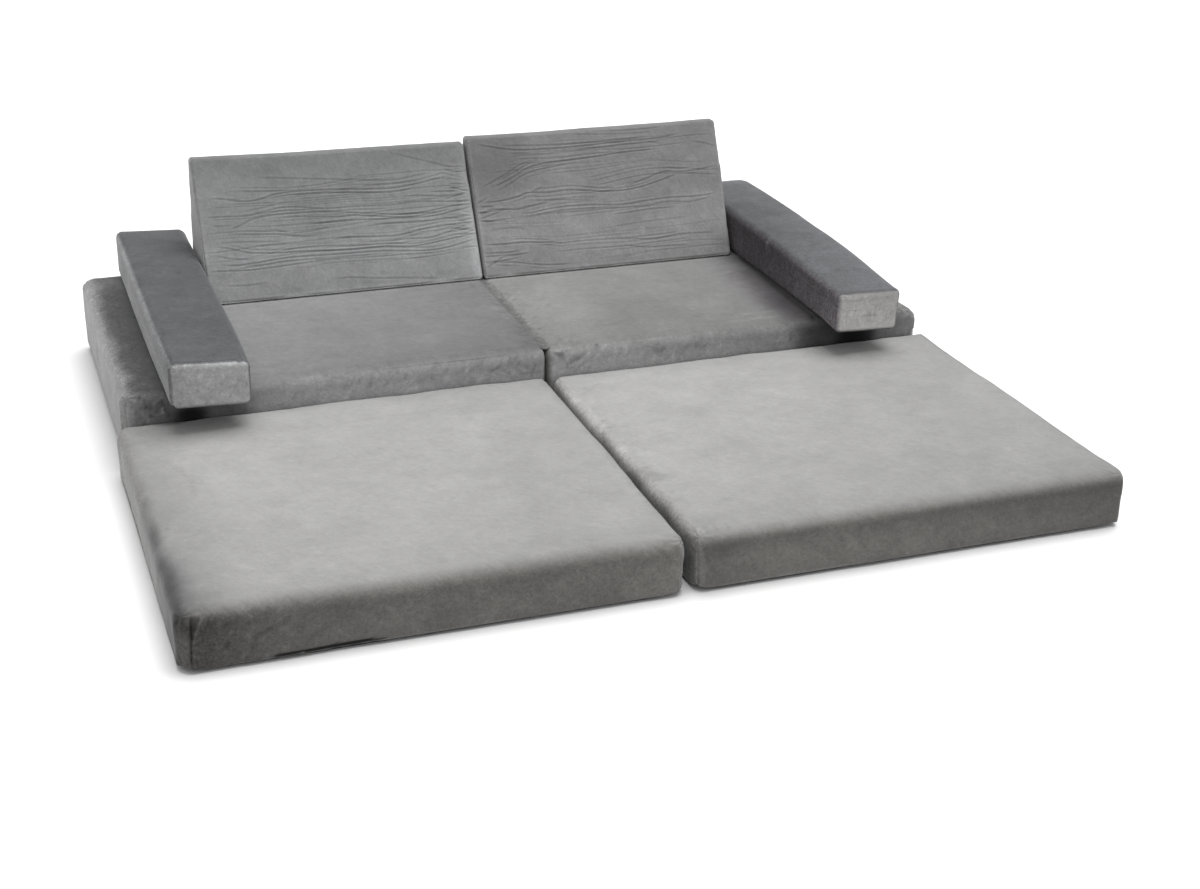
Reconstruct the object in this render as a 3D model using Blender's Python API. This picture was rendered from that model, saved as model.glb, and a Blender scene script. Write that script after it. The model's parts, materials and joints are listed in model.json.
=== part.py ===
"""Modular foam play sofa: eight loose foam modules in zipped velvet covers.

Two thin mats lie on the floor in front of two thick base blocks, which a fabric fold joins along
their top edges. Two wedge backs lean at the rear of the blocks, and two bar arms lie on them.
Metres, +Z up, +X along the width, the front towards -Y. The origin is on the floor, under the
middle of the whole sofa.
"""

import math

import bmesh
import bpy
from mathutils import Matrix, Vector

# Clearances and fabric
clearance = 0.0003
flatness = 0.00003
cover_wall = 0.0025
overrun = 0.004

# Floor modules: the two thin mats and the two thick base blocks
mat_width = 0.795
mat_depth = 0.719
mat_height = 0.099
mats_gap = 0.015
mat_to_base_gap = 0.0004
base_width = 0.789
base_depth = 0.676
base_height = 0.152
base_gap = 0.0004
floor_edge_radius = 0.018
shoulder_drop = 0.007
shoulder_width = 0.045
floor_side_draw = 0.0042
floor_ear_length = 0.085
mat_crown = 0.005
seat_crown = 0.004
panel_thickness = 0.0015
panel_inset = 0.011
panel_corner_segments = 4

# Arms: two bars that lie on the base blocks and reach past their front and rear faces
arm_width = 0.142
arm_height = 0.080
arm_length = 0.778
arm_front_overhang = 0.080
arm_to_back_gap = 0.003
arm_edge_radius = 0.012
arm_side_draw = 0.0042
arm_ear_length = 0.060
arm_crown = 0.0025

# Backs: two wedges, thin at the top, whose front faces lean backwards
back_width = 0.5645
back_height = 0.2645
back_front_y = 0.411
back_base_depth = 0.206
back_lean_run = 0.140
back_top_depth = 0.024
backs_gap = 0.003
back_edge_radius = 0.009
back_side_draw = 0.0040
back_ear_length = 0.055
back_crown = 0.006

# Fabric fold along the top edges of the two base blocks
fold_dip = 0.0012
fold_edge_turn = 8
fold_under_turn = 30

# Zips: tape with its coil, slider with a bridge, and pull tab
zip_tape_width = 0.012
zip_tape_thickness = 0.0012
zip_coil_width = 0.0042
zip_coil_height = 0.0008
slider_length = 0.010
slider_width = 0.0078
slider_thickness = 0.0018
bridge_length = 0.0072
bridge_width = 0.0016
bridge_opening = 0.0016
bridge_leg = 0.0009
bridge_bar = 0.0006
tab_length = 0.018
tab_width = 0.0062
tab_thickness = 0.0009
tab_side = 0.0013
tab_eye = 0.0052
zip_end_margin = 0.006
mat_zip_height = 0.036
base_zip_height = 0.046
arm_zip_height = 0.026
back_zip_height = 0.032

# Each rounded edge turns through a right angle in four facets
facet_turn = 22.5
half_turn_share = 1 - math.tan(math.radians(facet_turn))
dome_power = 3
shoulder_power = 2
smooth_angle = 40

# Where the mesh lines lie on the broad faces, as shares of the length between the ears
broad_line_shares = (0.36, 0.64)
long_line_shares = (0.25, 0.5, 0.75)
wedge_depth_shares = (0.0, 0.05, 0.22, 0.5, 0.78, 0.95, 1.0)
wedge_height_shares = (0.3, 0.62)

# Reaches from the base blocks' front plane, zip lengths and the seats of the upper modules
front_reach = mat_depth + mat_to_base_gap
rear_reach = arm_length - arm_front_overhang
centre_y = (rear_reach - front_reach) / 2
lift = panel_thickness + clearance
arm_inner_x = backs_gap / 2 + back_width + arm_to_back_gap
arm_zip_start = -arm_front_overhang + arm_ear_length + zip_end_margin
mat_zip_length = mat_depth - 2 * (floor_ear_length + zip_end_margin)
base_zip_length = base_width - 2 * (floor_ear_length + zip_end_margin)
arm_zip_length = back_front_y - zip_end_margin - arm_zip_start
back_zip_length = back_width - 2 * (back_ear_length + zip_end_margin)

COLOURS = {
    "velvet": ((0.30, 0.30, 0.31), 0.85, 0.0),
    "foam": ((0.86, 0.82, 0.66), 0.9, 0.0),
    "panel": ((0.06, 0.06, 0.065), 0.8, 0.0),
    "zip_tape": ((0.13, 0.13, 0.135), 0.7, 0.0),
    "zip_metal": ((0.32, 0.32, 0.33), 0.35, 1.0),
}


def clear_scene():
    for item in list(bpy.data.objects):
        bpy.data.objects.remove(item, do_unlink=True)


def material(name):
    found = bpy.data.materials.get(name)
    if found:
        return found
    colour, roughness, metallic = COLOURS[name]
    made = bpy.data.materials.new(name)
    made.use_nodes = True
    shader = made.node_tree.nodes["Principled BSDF"]
    shader.inputs["Base Color"].default_value = (*colour, 1.0)
    shader.inputs["Roughness"].default_value = roughness
    shader.inputs["Metallic"].default_value = metallic
    return made


def empty(name, parent=None, matrix=None):
    made = bpy.data.objects.new(name, None)
    bpy.context.scene.collection.objects.link(made)
    made.parent = parent
    if matrix is not None:
        made.matrix_basis = matrix
    return made


def put(name, bm, finish, parent, matrix=None):
    """Makes an object of a bmesh, on its parent, with outward faces."""
    bmesh.ops.recalc_face_normals(bm, faces=bm.faces)
    return put_as_is(name, bm, finish, parent, matrix)


def put_as_is(name, bm, finish, parent, matrix=None):
    """Makes an object of a bmesh whose faces are already turned the right way."""
    mesh = bpy.data.meshes.new(name)
    bm.to_mesh(mesh)
    bm.free()
    mesh.shade_smooth()
    mesh.set_sharp_from_angle(angle=math.radians(smooth_angle))
    mesh.materials.append(material(finish))
    made = bpy.data.objects.new(name, mesh)
    bpy.context.scene.collection.objects.link(made)
    made.parent = parent
    if matrix is not None:
        made.matrix_basis = matrix
    return made


def guide_box(name, low, high, parent, matrix=None):
    """A box that only cuts: it is never shown."""
    bm = bmesh.new()
    add_box(bm, low, high)
    made = put(name, bm, "panel", parent, matrix)
    made.hide_render = True
    made.display_type = "WIRE"
    return made


def cut(item, tool):
    modifier = item.modifiers.new(tool.name, "BOOLEAN")
    modifier.operation = "DIFFERENCE"
    modifier.solver = "EXACT"
    modifier.object = tool


def add_box(bm, low, high):
    size = [h - l for l, h in zip(low, high)]
    middle = [(h + l) / 2 for l, h in zip(low, high)]
    place = Matrix.Translation(middle) @ Matrix.Diagonal((*size, 1.0))
    bmesh.ops.create_cube(bm, size=1.0, matrix=place)


def add_prism(bm, outline, start, end):
    """Extrudes an outline in (x, z) from y = start to y = end."""
    bottom = [bm.verts.new((x, start, z)) for x, z in outline]
    top = [bm.verts.new((x, end, z)) for x, z in outline]
    bm.faces.new(bottom)
    bm.faces.new(top[::-1])
    for i, vertex in enumerate(bottom):
        following = (i + 1) % len(bottom)
        bm.faces.new((vertex, top[i], top[following], bottom[following]))


def lerp(low, high, share):
    return low + (high - low) * share


def smooth(share):
    """Eases from 0 to 1 and stays there."""
    held = min(max(share, 0.0), 1.0)
    return held * held * (3 - 2 * held)


def dome(value, low, high):
    """1 in the middle of a span and 0 at its ends and past them."""
    share = (value - low) / (high - low)
    if share <= 0 or share >= 1:
        return 0.0
    return 1 - abs(2 * share - 1) ** dome_power


def plateau(value, low, high, ear):
    """0 at the ends of a span and 1 everywhere between the ears."""
    return smooth(min(value - low, high - value) / ear)


def rise_above(value, low, high):
    """0 up to a low level, and 1 at the high one."""
    return max((value - low) / (high - low), 0.0)


def draw_in(value, low, high, amount, drawn=(True, True)):
    """How far a point moves so that the drawn ends of a span come in by an amount."""
    share = (value - low) / (high - low)
    return amount * (drawn[0] * (1 - share) - drawn[1] * share)


def inset_corners(corners, distance):
    """Moves each edge of a convex outline in by a distance and returns the new corners."""
    count = len(corners)
    lines = []
    for i, start in enumerate(corners):
        along = (corners[(i + 1) % count] - start).normalized()
        inward = Vector((-along.y, along.x))
        lines.append((start + inward * distance, along))
    moved = []
    for i in range(count):
        (p, d), (q, e) = lines[i - 1], lines[i]
        step = ((q - p).x * e.y - (q - p).y * e.x) / (d.x * e.y - d.y * e.x)
        moved.append(p + d * step)
    return moved


def nearest_in_outline(point, corners):
    """The point of a convex outline, its inside included, that is nearest to a point."""
    best, inside = None, True
    for i, start in enumerate(corners):
        edge = corners[(i + 1) % len(corners)] - start
        offset = point - start
        if edge.x * offset.y - edge.y * offset.x < 0:
            inside = False
        share = min(max(offset.dot(edge) / edge.length_squared, 0.0), 1.0)
        candidate = start + edge * share
        if best is None or (point - candidate).length < (point - best).length:
            best = candidate
    return point.copy() if inside else best


class Block:
    """A foam module: a box or a wedge with rounded edges, and the field that crowns it.

    The outline is four corners in (y, z): front bottom, rear bottom, rear top and front top.
    """

    def __init__(self, x_range, outline, radius, x_lines, y_shares, z_shares, field):
        self.x_range = x_range
        self.outline = [Vector(corner) for corner in outline]
        self.radius = radius
        self.x_lines = x_lines
        self.y_shares = y_shares
        self.z_shares = z_shares
        self.field = field

    def inset(self, distance):
        """The same module, smaller all round by a distance, with plainer edges."""
        low, high = self.x_range
        inner_low, inner_high = low + distance, high - distance
        edge = self.radius - flatness
        kept = [x for x in self.x_lines if low + edge < x < high - edge]
        return Block(
            (inner_low, inner_high),
            inset_corners(self.outline, distance),
            self.radius - distance,
            [inner_low, *kept, inner_high],
            plain_shares(self.y_shares),
            plain_shares(self.z_shares),
            self.field,
        )

    def sharp_point(self, x, across, up):
        front_bottom, rear_bottom, rear_top, front_top = self.outline
        bottom = front_bottom.lerp(rear_bottom, across)
        top = front_top.lerp(rear_top, across)
        point = bottom.lerp(top, up)
        return Vector((x, point.x, point.y))

    def rounded(self, point):
        """The point of the rounded surface that a point of the sharp one moves to."""
        low, high = self.x_range
        core_x = min(max(point.x, low + self.radius), high - self.radius)
        core = nearest_in_outline(point.yz, inset_corners(self.outline, self.radius))
        centre = Vector((core_x, core.x, core.y))
        return centre + (point - centre).normalized() * self.radius

    def add_surface(self, bm, inward=False):
        """Adds the module's closed surface to a bmesh, with its faces outward or inward."""
        columns = (self.x_lines, self.y_shares, self.z_shares)
        last = [len(column) - 1 for column in columns]
        grid = {}
        for i, x in enumerate(columns[0]):
            for j, across in enumerate(columns[1]):
                for k, up in enumerate(columns[2]):
                    if i in (0, last[0]) or j in (0, last[1]) or k in (0, last[2]):
                        point = self.rounded(self.sharp_point(x, across, up))
                        grid[i, j, k] = bm.verts.new(self.field(point))
        faces = []
        for axis in range(3):
            u, v = (axis + 1) % 3, (axis + 2) % 3
            for side in (0, last[axis]):
                for s in range(last[u]):
                    for t in range(last[v]):
                        corners = []
                        for ds, dt in ((0, 0), (1, 0), (1, 1), (0, 1)):
                            key = [0, 0, 0]
                            key[axis], key[u], key[v] = side, s + ds, t + dt
                            corners.append(grid[tuple(key)])
                        if (2 * s < last[u]) != (2 * t < last[v]):
                            corners.append(corners.pop(0))
                        if (side == 0) != inward:
                            corners = [corners[0], *corners[:0:-1]]
                        faces.append(bm.faces.new(corners[:3]))
                        faces.append(bm.faces.new([corners[0], *corners[2:]]))
        self.merge_flat_bottom(bm, faces)

    def merge_flat_bottom(self, bm, faces):
        """Joins the faces of the flat underside into one."""
        lowest = min(vertex.co.z for face in faces for vertex in face.verts)
        flat = [f for f in faces if all(v.co.z - lowest < flatness for v in f.verts)]
        if len(flat) > 1:
            bmesh.ops.dissolve_faces(bm, faces=flat, use_verts=True)


def plain_shares(shares):
    """Drops the line in the middle of each rounded edge."""
    return [shares[0], *shares[2:-2], shares[-1]]


def between_ears(low, high, ear, shares):
    return [lerp(low + ear, high - ear, share) for share in shares]


def edge_lines(low, high, radius, ear, middle):
    """Mesh lines across a span: its rounded edges, its ears and the lines in the middle."""
    start = [low, low + half_turn_share * radius, low + radius, low + ear]
    end = [high - ear, high - radius, high - half_turn_share * radius, high]
    return [*start, *middle, *end]


def narrow_lines(low, high, radius):
    """Mesh lines across a narrow span: its rounded edges and its middle."""
    step = half_turn_share * radius
    return [low, low + step, low + radius, (low + high) / 2, high - radius, high - step, high]


def as_shares(lines):
    return [(line - lines[0]) / (lines[-1] - lines[0]) for line in lines]


def height_lines(low, high, radius):
    step = half_turn_share * radius
    return as_shares([low, low + step, low + radius, high - radius, high - step, high])


def box_outline(y_range, z_range):
    return (
        (y_range[0], z_range[0]),
        (y_range[1], z_range[0]),
        (y_range[1], z_range[1]),
        (y_range[0], z_range[1]),
    )


def floor_field(x_range, y_range, height, soft_sides, drawn_sides, crown, crown_box):
    """Crowns a floor module, drops its shoulders and draws its sides in between the corners.

    Sides are listed as low x, high x, low y, high y.
    """

    def moved(point):
        x, y, z = point
        rise = rise_above(z, lift + floor_edge_radius, height)
        from_sides = (x - x_range[0], x_range[1] - x, y - y_range[0], y_range[1] - y)
        near = min(gap for gap, soft in zip(from_sides, soft_sides) if soft)
        shoulder = max(1 - near / shoulder_width, 0.0) ** shoulder_power
        (x_low, x_high), (y_low, y_high) = crown_box
        swell = crown * dome(x, x_low, x_high) * dome(y, y_low, y_high)
        draw_x = floor_side_draw * plateau(y, *y_range, floor_ear_length)
        draw_y = floor_side_draw * plateau(x, *x_range, floor_ear_length)
        return Vector(
            (
                x + draw_in(x, *x_range, draw_x, drawn_sides[:2]),
                y + draw_in(y, *y_range, draw_y, drawn_sides[2:]),
                z + (swell - shoulder_drop * shoulder) * rise,
            )
        )

    return moved


def floor_module(x_range, y_range, height, middle_lines, field):
    x_middle, y_middle = middle_lines
    return Block(
        x_range,
        box_outline(y_range, (lift, height)),
        floor_edge_radius,
        edge_lines(*x_range, floor_edge_radius, floor_ear_length, x_middle),
        as_shares(edge_lines(*y_range, floor_edge_radius, floor_ear_length, y_middle)),
        height_lines(lift, height, floor_edge_radius),
        field,
    )


def mat_module(side):
    inner, outer = mats_gap / 2, mats_gap / 2 + mat_width
    x_range = (-outer, -inner) if side == "left" else (inner, outer)
    y_range = (-front_reach, -mat_to_base_gap)
    soft_sides = (True, True, True, True)
    drawn_sides = (True, True, True, False)
    field = floor_field(
        x_range, y_range, mat_height, soft_sides, drawn_sides, mat_crown, (x_range, y_range)
    )
    middle_lines = [
        between_ears(*span, floor_ear_length, broad_line_shares) for span in (x_range, y_range)
    ]
    return floor_module(x_range, y_range, mat_height, middle_lines, field)


def base_module(side):
    """The blocks' sides that face each other keep their full height and stay straight."""
    inner, outer = base_gap / 2, base_gap / 2 + base_width
    x_range = (-outer, -inner) if side == "left" else (inner, outer)
    y_range = (0.0, base_depth)
    seat_x = (-arm_inner_x, -inner) if side == "left" else (inner, arm_inner_x)
    seat_y = (y_range[0], back_front_y)
    soft_sides = (side == "left", side == "right", True, True)
    drawn_sides = (side == "left", side == "right", False, True)
    field = floor_field(
        x_range, y_range, base_height, soft_sides, drawn_sides, seat_crown, (seat_x, seat_y)
    )
    x_middle = sorted([sum(seat_x) / 2, -arm_inner_x if side == "left" else arm_inner_x])
    y_middle = [sum(seat_y) / 2, back_front_y]
    return floor_module(x_range, y_range, base_height, (x_middle, y_middle), field)


def arm_x_range(side):
    outer = arm_inner_x + arm_width
    return (-outer, -arm_inner_x) if side == "left" else (arm_inner_x, outer)


def arm_module(side):
    x_range = arm_x_range(side)
    y_range = (-arm_front_overhang, rear_reach)
    z_range = (base_height + clearance, base_height + clearance + arm_height)

    def moved(point):
        x, y, z = point
        rise = rise_above(z, z_range[0] + arm_edge_radius, z_range[1])
        swell = arm_crown * dome(x, *x_range) * dome(y, *y_range) * rise
        draw = arm_side_draw * plateau(y, *y_range, arm_ear_length)
        return Vector((x + draw_in(x, *x_range, draw), y, z + swell))

    y_middle = between_ears(*y_range, arm_ear_length, long_line_shares)
    return Block(
        x_range,
        box_outline(y_range, z_range),
        arm_edge_radius,
        narrow_lines(*x_range, arm_edge_radius),
        as_shares(edge_lines(*y_range, arm_edge_radius, arm_ear_length, y_middle)),
        height_lines(*z_range, arm_edge_radius),
        moved,
    )


def back_x_range(side):
    inner, outer = backs_gap / 2, backs_gap / 2 + back_width
    return (-outer, -inner) if side == "left" else (inner, outer)


def back_outline():
    bottom = base_height + clearance
    top = bottom + back_height
    top_front = back_front_y + back_lean_run
    return (
        (back_front_y, bottom),
        (back_front_y + back_base_depth, bottom),
        (top_front + back_top_depth, top),
        (top_front, top),
    )


def back_module(side):
    x_range = back_x_range(side)
    outline = back_outline()
    bottom, top = outline[0][1], outline[3][1]
    radius = back_edge_radius
    step = half_turn_share * radius
    face_lines = [lerp(bottom + radius, top - radius, share) for share in wedge_height_shares]
    z_lines = [bottom, bottom + step, bottom + radius, *face_lines, top - radius, top - step, top]

    def moved(point):
        x, y, z = point
        up = (z - bottom) / (top - bottom)
        front = lerp(outline[0][0], outline[3][0], up)
        rear = lerp(outline[1][0], outline[2][0], up)
        across = min(max((y - front) / (rear - front), 0.0), 1.0)
        swell = back_crown * dome(x, *x_range) * dome(z, bottom, top) * (1 - across)
        draw = back_side_draw * plateau(z, bottom, top, back_ear_length)
        return Vector((x + draw_in(x, *x_range, draw), y - swell, z))

    x_middle = between_ears(*x_range, back_ear_length, broad_line_shares)
    return Block(
        x_range,
        outline,
        radius,
        edge_lines(*x_range, radius, back_ear_length, x_middle),
        wedge_depth_shares,
        as_shares(z_lines),
        moved,
    )


def zip_frame(origin, along, up):
    """A zip's own frame: x along it, y up the face, z out of the face."""
    outward = along.cross(up)
    rotation = Matrix((along, up, outward)).transposed().to_4x4()
    return Matrix.Translation(origin) @ rotation


def side_zip_frame(x_face, side_draw, y_middle, height):
    """On a face that looks along +X: the tape lies in the drawn-in side."""
    face = x_face - side_draw - (cover_wall - zip_tape_thickness)
    return zip_frame(Vector((face, y_middle, height)), Vector((0, 1, 0)), Vector((0, 0, 1)))


def mat_zip_frame(side):
    x_face = -mats_gap / 2 if side == "left" else mats_gap / 2 + mat_width
    return side_zip_frame(x_face, floor_side_draw, -front_reach + mat_depth / 2, mat_zip_height)


def base_zip_frame(side):
    middle = base_gap / 2 + base_width / 2
    face = base_depth - floor_side_draw - (cover_wall - zip_tape_thickness)
    origin = Vector((-middle if side == "left" else middle, face, base_zip_height))
    return zip_frame(origin, Vector((-1, 0, 0)), Vector((0, 0, 1)))


def arm_zip_frame(side):
    y_middle = arm_zip_start + arm_zip_length / 2
    height = base_height + arm_zip_height
    return side_zip_frame(arm_x_range(side)[1], arm_side_draw, y_middle, height)


def back_zip_frame(side):
    outline = [Vector(corner) for corner in back_outline()]
    up_face = (outline[2] - outline[1]).normalized()
    out_of_face = Vector((up_face.y, -up_face.x))
    recess = cover_wall - zip_tape_thickness
    spot = outline[1] + up_face * back_zip_height - out_of_face * recess
    origin = Vector((sum(back_x_range(side)) / 2, spot.x, spot.y))
    return zip_frame(origin, Vector((-1, 0, 0)), Vector((0, up_face.x, up_face.y)))


def zip_tape(name, length, parent, matrix):
    """Tape with the raised coil along its middle, in one strip."""
    half_tape, half_coil = zip_tape_width / 2, zip_coil_width / 2
    flank = half_coil - zip_coil_height / 2
    outline = [
        (-half_tape, -zip_tape_thickness),
        (half_tape, -zip_tape_thickness),
        (half_tape, 0.0),
        (half_coil, 0.0),
        (flank, zip_coil_height),
        (-flank, zip_coil_height),
        (-half_coil, 0.0),
        (-half_tape, 0.0),
    ]
    bm = bmesh.new()
    add_prism(bm, outline, -length / 2, length / 2)
    bmesh.ops.rotate(bm, verts=bm.verts, matrix=Matrix.Rotation(math.radians(-90), 3, "Z"))
    return put(name, bm, "zip_tape", parent, matrix)


def slider_start(length):
    """Where the closed slider stands along its tape."""
    return -length / 2 + slider_length


def bridge_base():
    return zip_coil_height + clearance + slider_thickness


def zip_slider(name, parent):
    """Slider body with the arched bridge that holds the pull tab. Its origin is under its middle."""
    low = zip_coil_height + clearance
    deck = bridge_base()
    bm = bmesh.new()
    half_length, half_width = slider_length / 2, slider_width / 2
    nose = bridge_length / 2 + clearance
    outline = [
        (-half_length, low),
        (nose, low),
        (half_length, low + slider_thickness / 3),
        (half_length, deck - slider_thickness / 3),
        (nose, deck),
        (bridge_length / 2, deck),
        (bridge_length / 2, deck + bridge_opening + bridge_bar),
        (-bridge_length / 2, deck + bridge_opening + bridge_bar),
        (-bridge_length / 2, deck),
        (-half_length, deck),
    ]
    add_prism(bm, outline, -half_width, half_width)
    made = put(name, bm, "zip_metal", parent)
    top = deck + bridge_opening + bridge_bar + overrun
    half_bridge = bridge_width / 2
    for label, y_low, y_high in (
        ("lower", -half_width - overrun, -half_bridge),
        ("upper", half_bridge, half_width + overrun),
    ):
        tool = guide_box(
            f"{name}_{label}_cut",
            (-half_length, y_low, deck),
            (half_length, y_high, top),
            parent,
        )
        cut(made, tool)
    leg_inside = bridge_length / 2 - bridge_leg
    opening = guide_box(
        f"{name}_opening_cut",
        (-leg_inside, -half_width, deck),
        (leg_inside, half_width, deck + bridge_opening),
        parent,
    )
    cut(made, opening)
    return made


def zip_tab(name, parent):
    """Pull tab with an eye round the bridge's leg. Its origin is on its hinge axis."""
    half_width, half_thickness = tab_width / 2, tab_thickness / 2
    start = -half_thickness
    low, high = (start, -half_width, -half_thickness), (tab_length, half_width, half_thickness)
    bm = bmesh.new()
    add_box(bm, low, high)
    made = put(name, bm, "zip_metal", parent)
    eye = guide_box(
        f"{name}_eye_cut",
        (half_thickness, -half_width + tab_side, -half_thickness - overrun),
        (tab_eye, half_width - tab_side, half_thickness + overrun),
        parent,
    )
    cut(made, eye)
    return made


def zip_fastener(label, length, frame, parent):
    """Tape, slider and tab, with empties on the slide's line and on the tab's hinge axis."""
    zip_tape(f"{label}_zip_tape", length, parent, frame)
    runner = empty(
        f"{label}_zip_runner", parent, frame @ Matrix.Translation((slider_start(length), 0, 0))
    )
    zip_slider(f"{label}_zip_slider", runner)
    axis_height = bridge_base() + bridge_opening / 2
    hinge = empty(
        f"{label}_zip_tab_hinge", runner, Matrix.Translation((0, 0, axis_height))
    )
    zip_tab(f"{label}_zip_tab", hinge)


def cover_and_core(label, block, zip_length, frame, parent):
    """The zipped cover, as a hollow shell with a slot for its zip, and the foam inside it."""
    bm = bmesh.new()
    block.add_surface(bm)
    block.inset(cover_wall).add_surface(bm, inward=True)
    cover = put_as_is(f"{label}_cover", bm, "velvet", parent)
    half_length = zip_length / 2 + clearance
    half_width = zip_tape_width / 2 + clearance
    slot = guide_box(
        f"{label}_slot_cut",
        (-half_length, -half_width, -zip_tape_thickness - clearance / 2),
        (half_length, half_width, overrun),
        parent,
        frame,
    )
    cut(cover, slot)
    core = bmesh.new()
    block.inset(cover_wall + clearance).add_surface(core)
    put_as_is(f"{label}_foam_core", core, "foam", parent)


def bottom_panel(label, x_range, y_range, parent):
    """Grippy sheet sewn under a floor module, a little smaller than the module."""
    low = (x_range[0] + panel_inset, y_range[0] + panel_inset, 0.0)
    high = (x_range[1] - panel_inset, y_range[1] - panel_inset, panel_thickness)
    bm = bmesh.new()
    add_box(bm, low, high)
    upright = [e for e in bm.edges if abs(e.verts[0].co.z - e.verts[1].co.z) > clearance]
    bmesh.ops.bevel(
        bm,
        geom=upright,
        offset=floor_edge_radius,
        segments=panel_corner_segments,
        affect="EDGES",
    )
    put(f"{label}_bottom_panel", bm, "panel", parent)


def fold_strip(parent):
    """Fabric fold that joins the two base blocks along the top, with a shallow valley.

    Its edges lie on the rounded edges of both blocks, and it rises and drops with them.
    """
    radius = floor_edge_radius
    turns = (fold_edge_turn, facet_turn, fold_under_turn)
    reach = radius + clearance
    half = []
    for turn in turns:
        angle = math.radians(turn)
        across = base_gap / 2 + radius - reach * math.sin(angle)
        half.append((across, base_height - radius + reach * math.cos(angle)))
    valley = (0.0, half[0][1] - fold_dip)
    outline = [valley, *half, *[(-x, z) for x, z in reversed(half)]]
    left, right = base_module("left"), base_module("right")
    stations = [base_depth * share for share in right.y_shares[2:-2]]
    bm = bmesh.new()
    rings = []
    for y in stations:
        ring = []
        for x, z in outline:
            field = left.field if x < 0 else right.field
            ring.append(bm.verts.new(field(Vector((x, y, z)))))
        rings.append(ring)
    bm.faces.new(rings[0])
    bm.faces.new(rings[-1][::-1])
    for ring, following in zip(rings, rings[1:]):
        for i, vertex in enumerate(ring):
            j = (i + 1) % len(ring)
            bm.faces.new((vertex, following[i], following[j], ring[j]))
    put("base_fold_strip", bm, "velvet", parent)


def floor_modules(root):
    for side in ("left", "right"):
        label = f"front_{side}_mat"
        holder = empty(f"{label}_pull_out", root)
        block = mat_module(side)
        frame = mat_zip_frame(side)
        cover_and_core(label, block, mat_zip_length, frame, holder)
        zip_fastener(label, mat_zip_length, frame, holder)
        y_range = (-front_reach, -mat_to_base_gap)
        bottom_panel(label, block.x_range, y_range, holder)
    for side in ("left", "right"):
        label = f"rear_{side}_base"
        block = base_module(side)
        frame = base_zip_frame(side)
        cover_and_core(label, block, base_zip_length, frame, root)
        zip_fastener(label, base_zip_length, frame, root)
        bottom_panel(label, block.x_range, (0.0, base_depth), root)
    fold_strip(root)


def upper_modules(root):
    for side in ("left", "right"):
        label = f"{side}_arm"
        holder = empty(f"{label}_lift_off", root)
        frame = arm_zip_frame(side)
        cover_and_core(label, arm_module(side), arm_zip_length, frame, holder)
        zip_fastener(label, arm_zip_length, frame, holder)
    for side in ("left", "right"):
        label = f"{side}_back"
        holder = empty(f"{label}_lift_off", root)
        frame = back_zip_frame(side)
        cover_and_core(label, back_module(side), back_zip_length, frame, holder)
        zip_fastener(label, back_zip_length, frame, holder)


def main():
    clear_scene()
    root = empty("sofa_origin", None, Matrix.Translation((0, -centre_y, 0)))
    floor_modules(root)
    upper_modules(root)


main()
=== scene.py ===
"""Looks of the modular foam play sofa.

Velvet covers with their seams, creases and brushed nap, with light and shade painted into
their colour, the zips, the fabric fold and the non-slip panels, on a pale floor in soft
light. Metres, +Z up, front towards -Y.
"""

import json
import math

import bpy
import numpy as np
from mathutils import Matrix, Vector


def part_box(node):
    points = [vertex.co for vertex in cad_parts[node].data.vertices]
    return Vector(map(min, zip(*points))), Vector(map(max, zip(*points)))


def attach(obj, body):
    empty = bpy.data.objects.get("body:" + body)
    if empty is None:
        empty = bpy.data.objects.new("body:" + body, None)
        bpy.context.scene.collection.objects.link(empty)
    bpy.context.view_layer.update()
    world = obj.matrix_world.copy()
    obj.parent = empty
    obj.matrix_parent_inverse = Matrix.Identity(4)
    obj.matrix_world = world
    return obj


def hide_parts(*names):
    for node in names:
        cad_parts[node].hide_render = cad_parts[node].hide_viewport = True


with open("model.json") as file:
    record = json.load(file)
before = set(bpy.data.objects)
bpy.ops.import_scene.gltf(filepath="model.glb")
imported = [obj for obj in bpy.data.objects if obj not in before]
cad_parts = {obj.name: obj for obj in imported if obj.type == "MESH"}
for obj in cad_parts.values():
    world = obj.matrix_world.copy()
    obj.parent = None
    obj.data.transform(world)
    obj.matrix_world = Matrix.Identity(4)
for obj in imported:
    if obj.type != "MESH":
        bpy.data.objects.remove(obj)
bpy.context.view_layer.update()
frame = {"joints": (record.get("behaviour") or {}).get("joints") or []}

# Camera, fitted to the corners of the modules
focal_px = 1854.0
image_width_px = 1200
sensor_width_mm = 36
camera_spot = (-1.0444, -3.0796, 1.4149)
camera_pitch, camera_yaw, camera_roll = 0.42050, 0.35735, 0.02105

# Light
sky_strength = 1.0
key_from = (0.20, 0.14, 1.0)
key_strength = 4.1
key_angle_deg = 46
floor_reach = 60.0
floor_grey = 0.58

# Velvet, and the tints that the lay of its nap and the painted light and shade give it
velvet_grey = (0.205, 0.204, 0.201)
neutral, warm, warmer = (1, 1, 1), (1.01, 1, 0.985), (1.035, 1.0, 0.96)
cool, colder = (0.98, 0.985, 1.0), (0.962, 0.974, 1.0)
blue, violet = (0.915, 0.935, 1.01), (1.05, 0.95, 1.04)

# A block's faces, each as its axis and end, and the ways along them
faces = [(axis, end) for axis in range(3) for end in range(2)]
left_side, right_side, front, rear, underside, top = faces
to_right, to_rear, upward = range(3)

# Distances of the mesh lines from a seam, along the rounded edge that it lies on
seam_steps = (0, 0.0008, 0.0017, 0.0028, 0.0043, 0.0065, 0.0095, 0.0135, 0.0185, 0.024)

# The base blocks' top and front face, a height just above the mats, the arms' inner sides, the
# inner edges of the ledges outside the arms, and the backs' front foot
seat_top = 0.152
seat_front, seat_rear = 0.0107, 0.4217
mat_contact = 0.11
arm_inner, ledge_inner = 0.569, 0.72
base_front_radius = 0.024

# The foam's gap to its cover, and half the width of the channel that a zip lies in
foam_inset = 0.0062
channel_half = 0.0065

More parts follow.
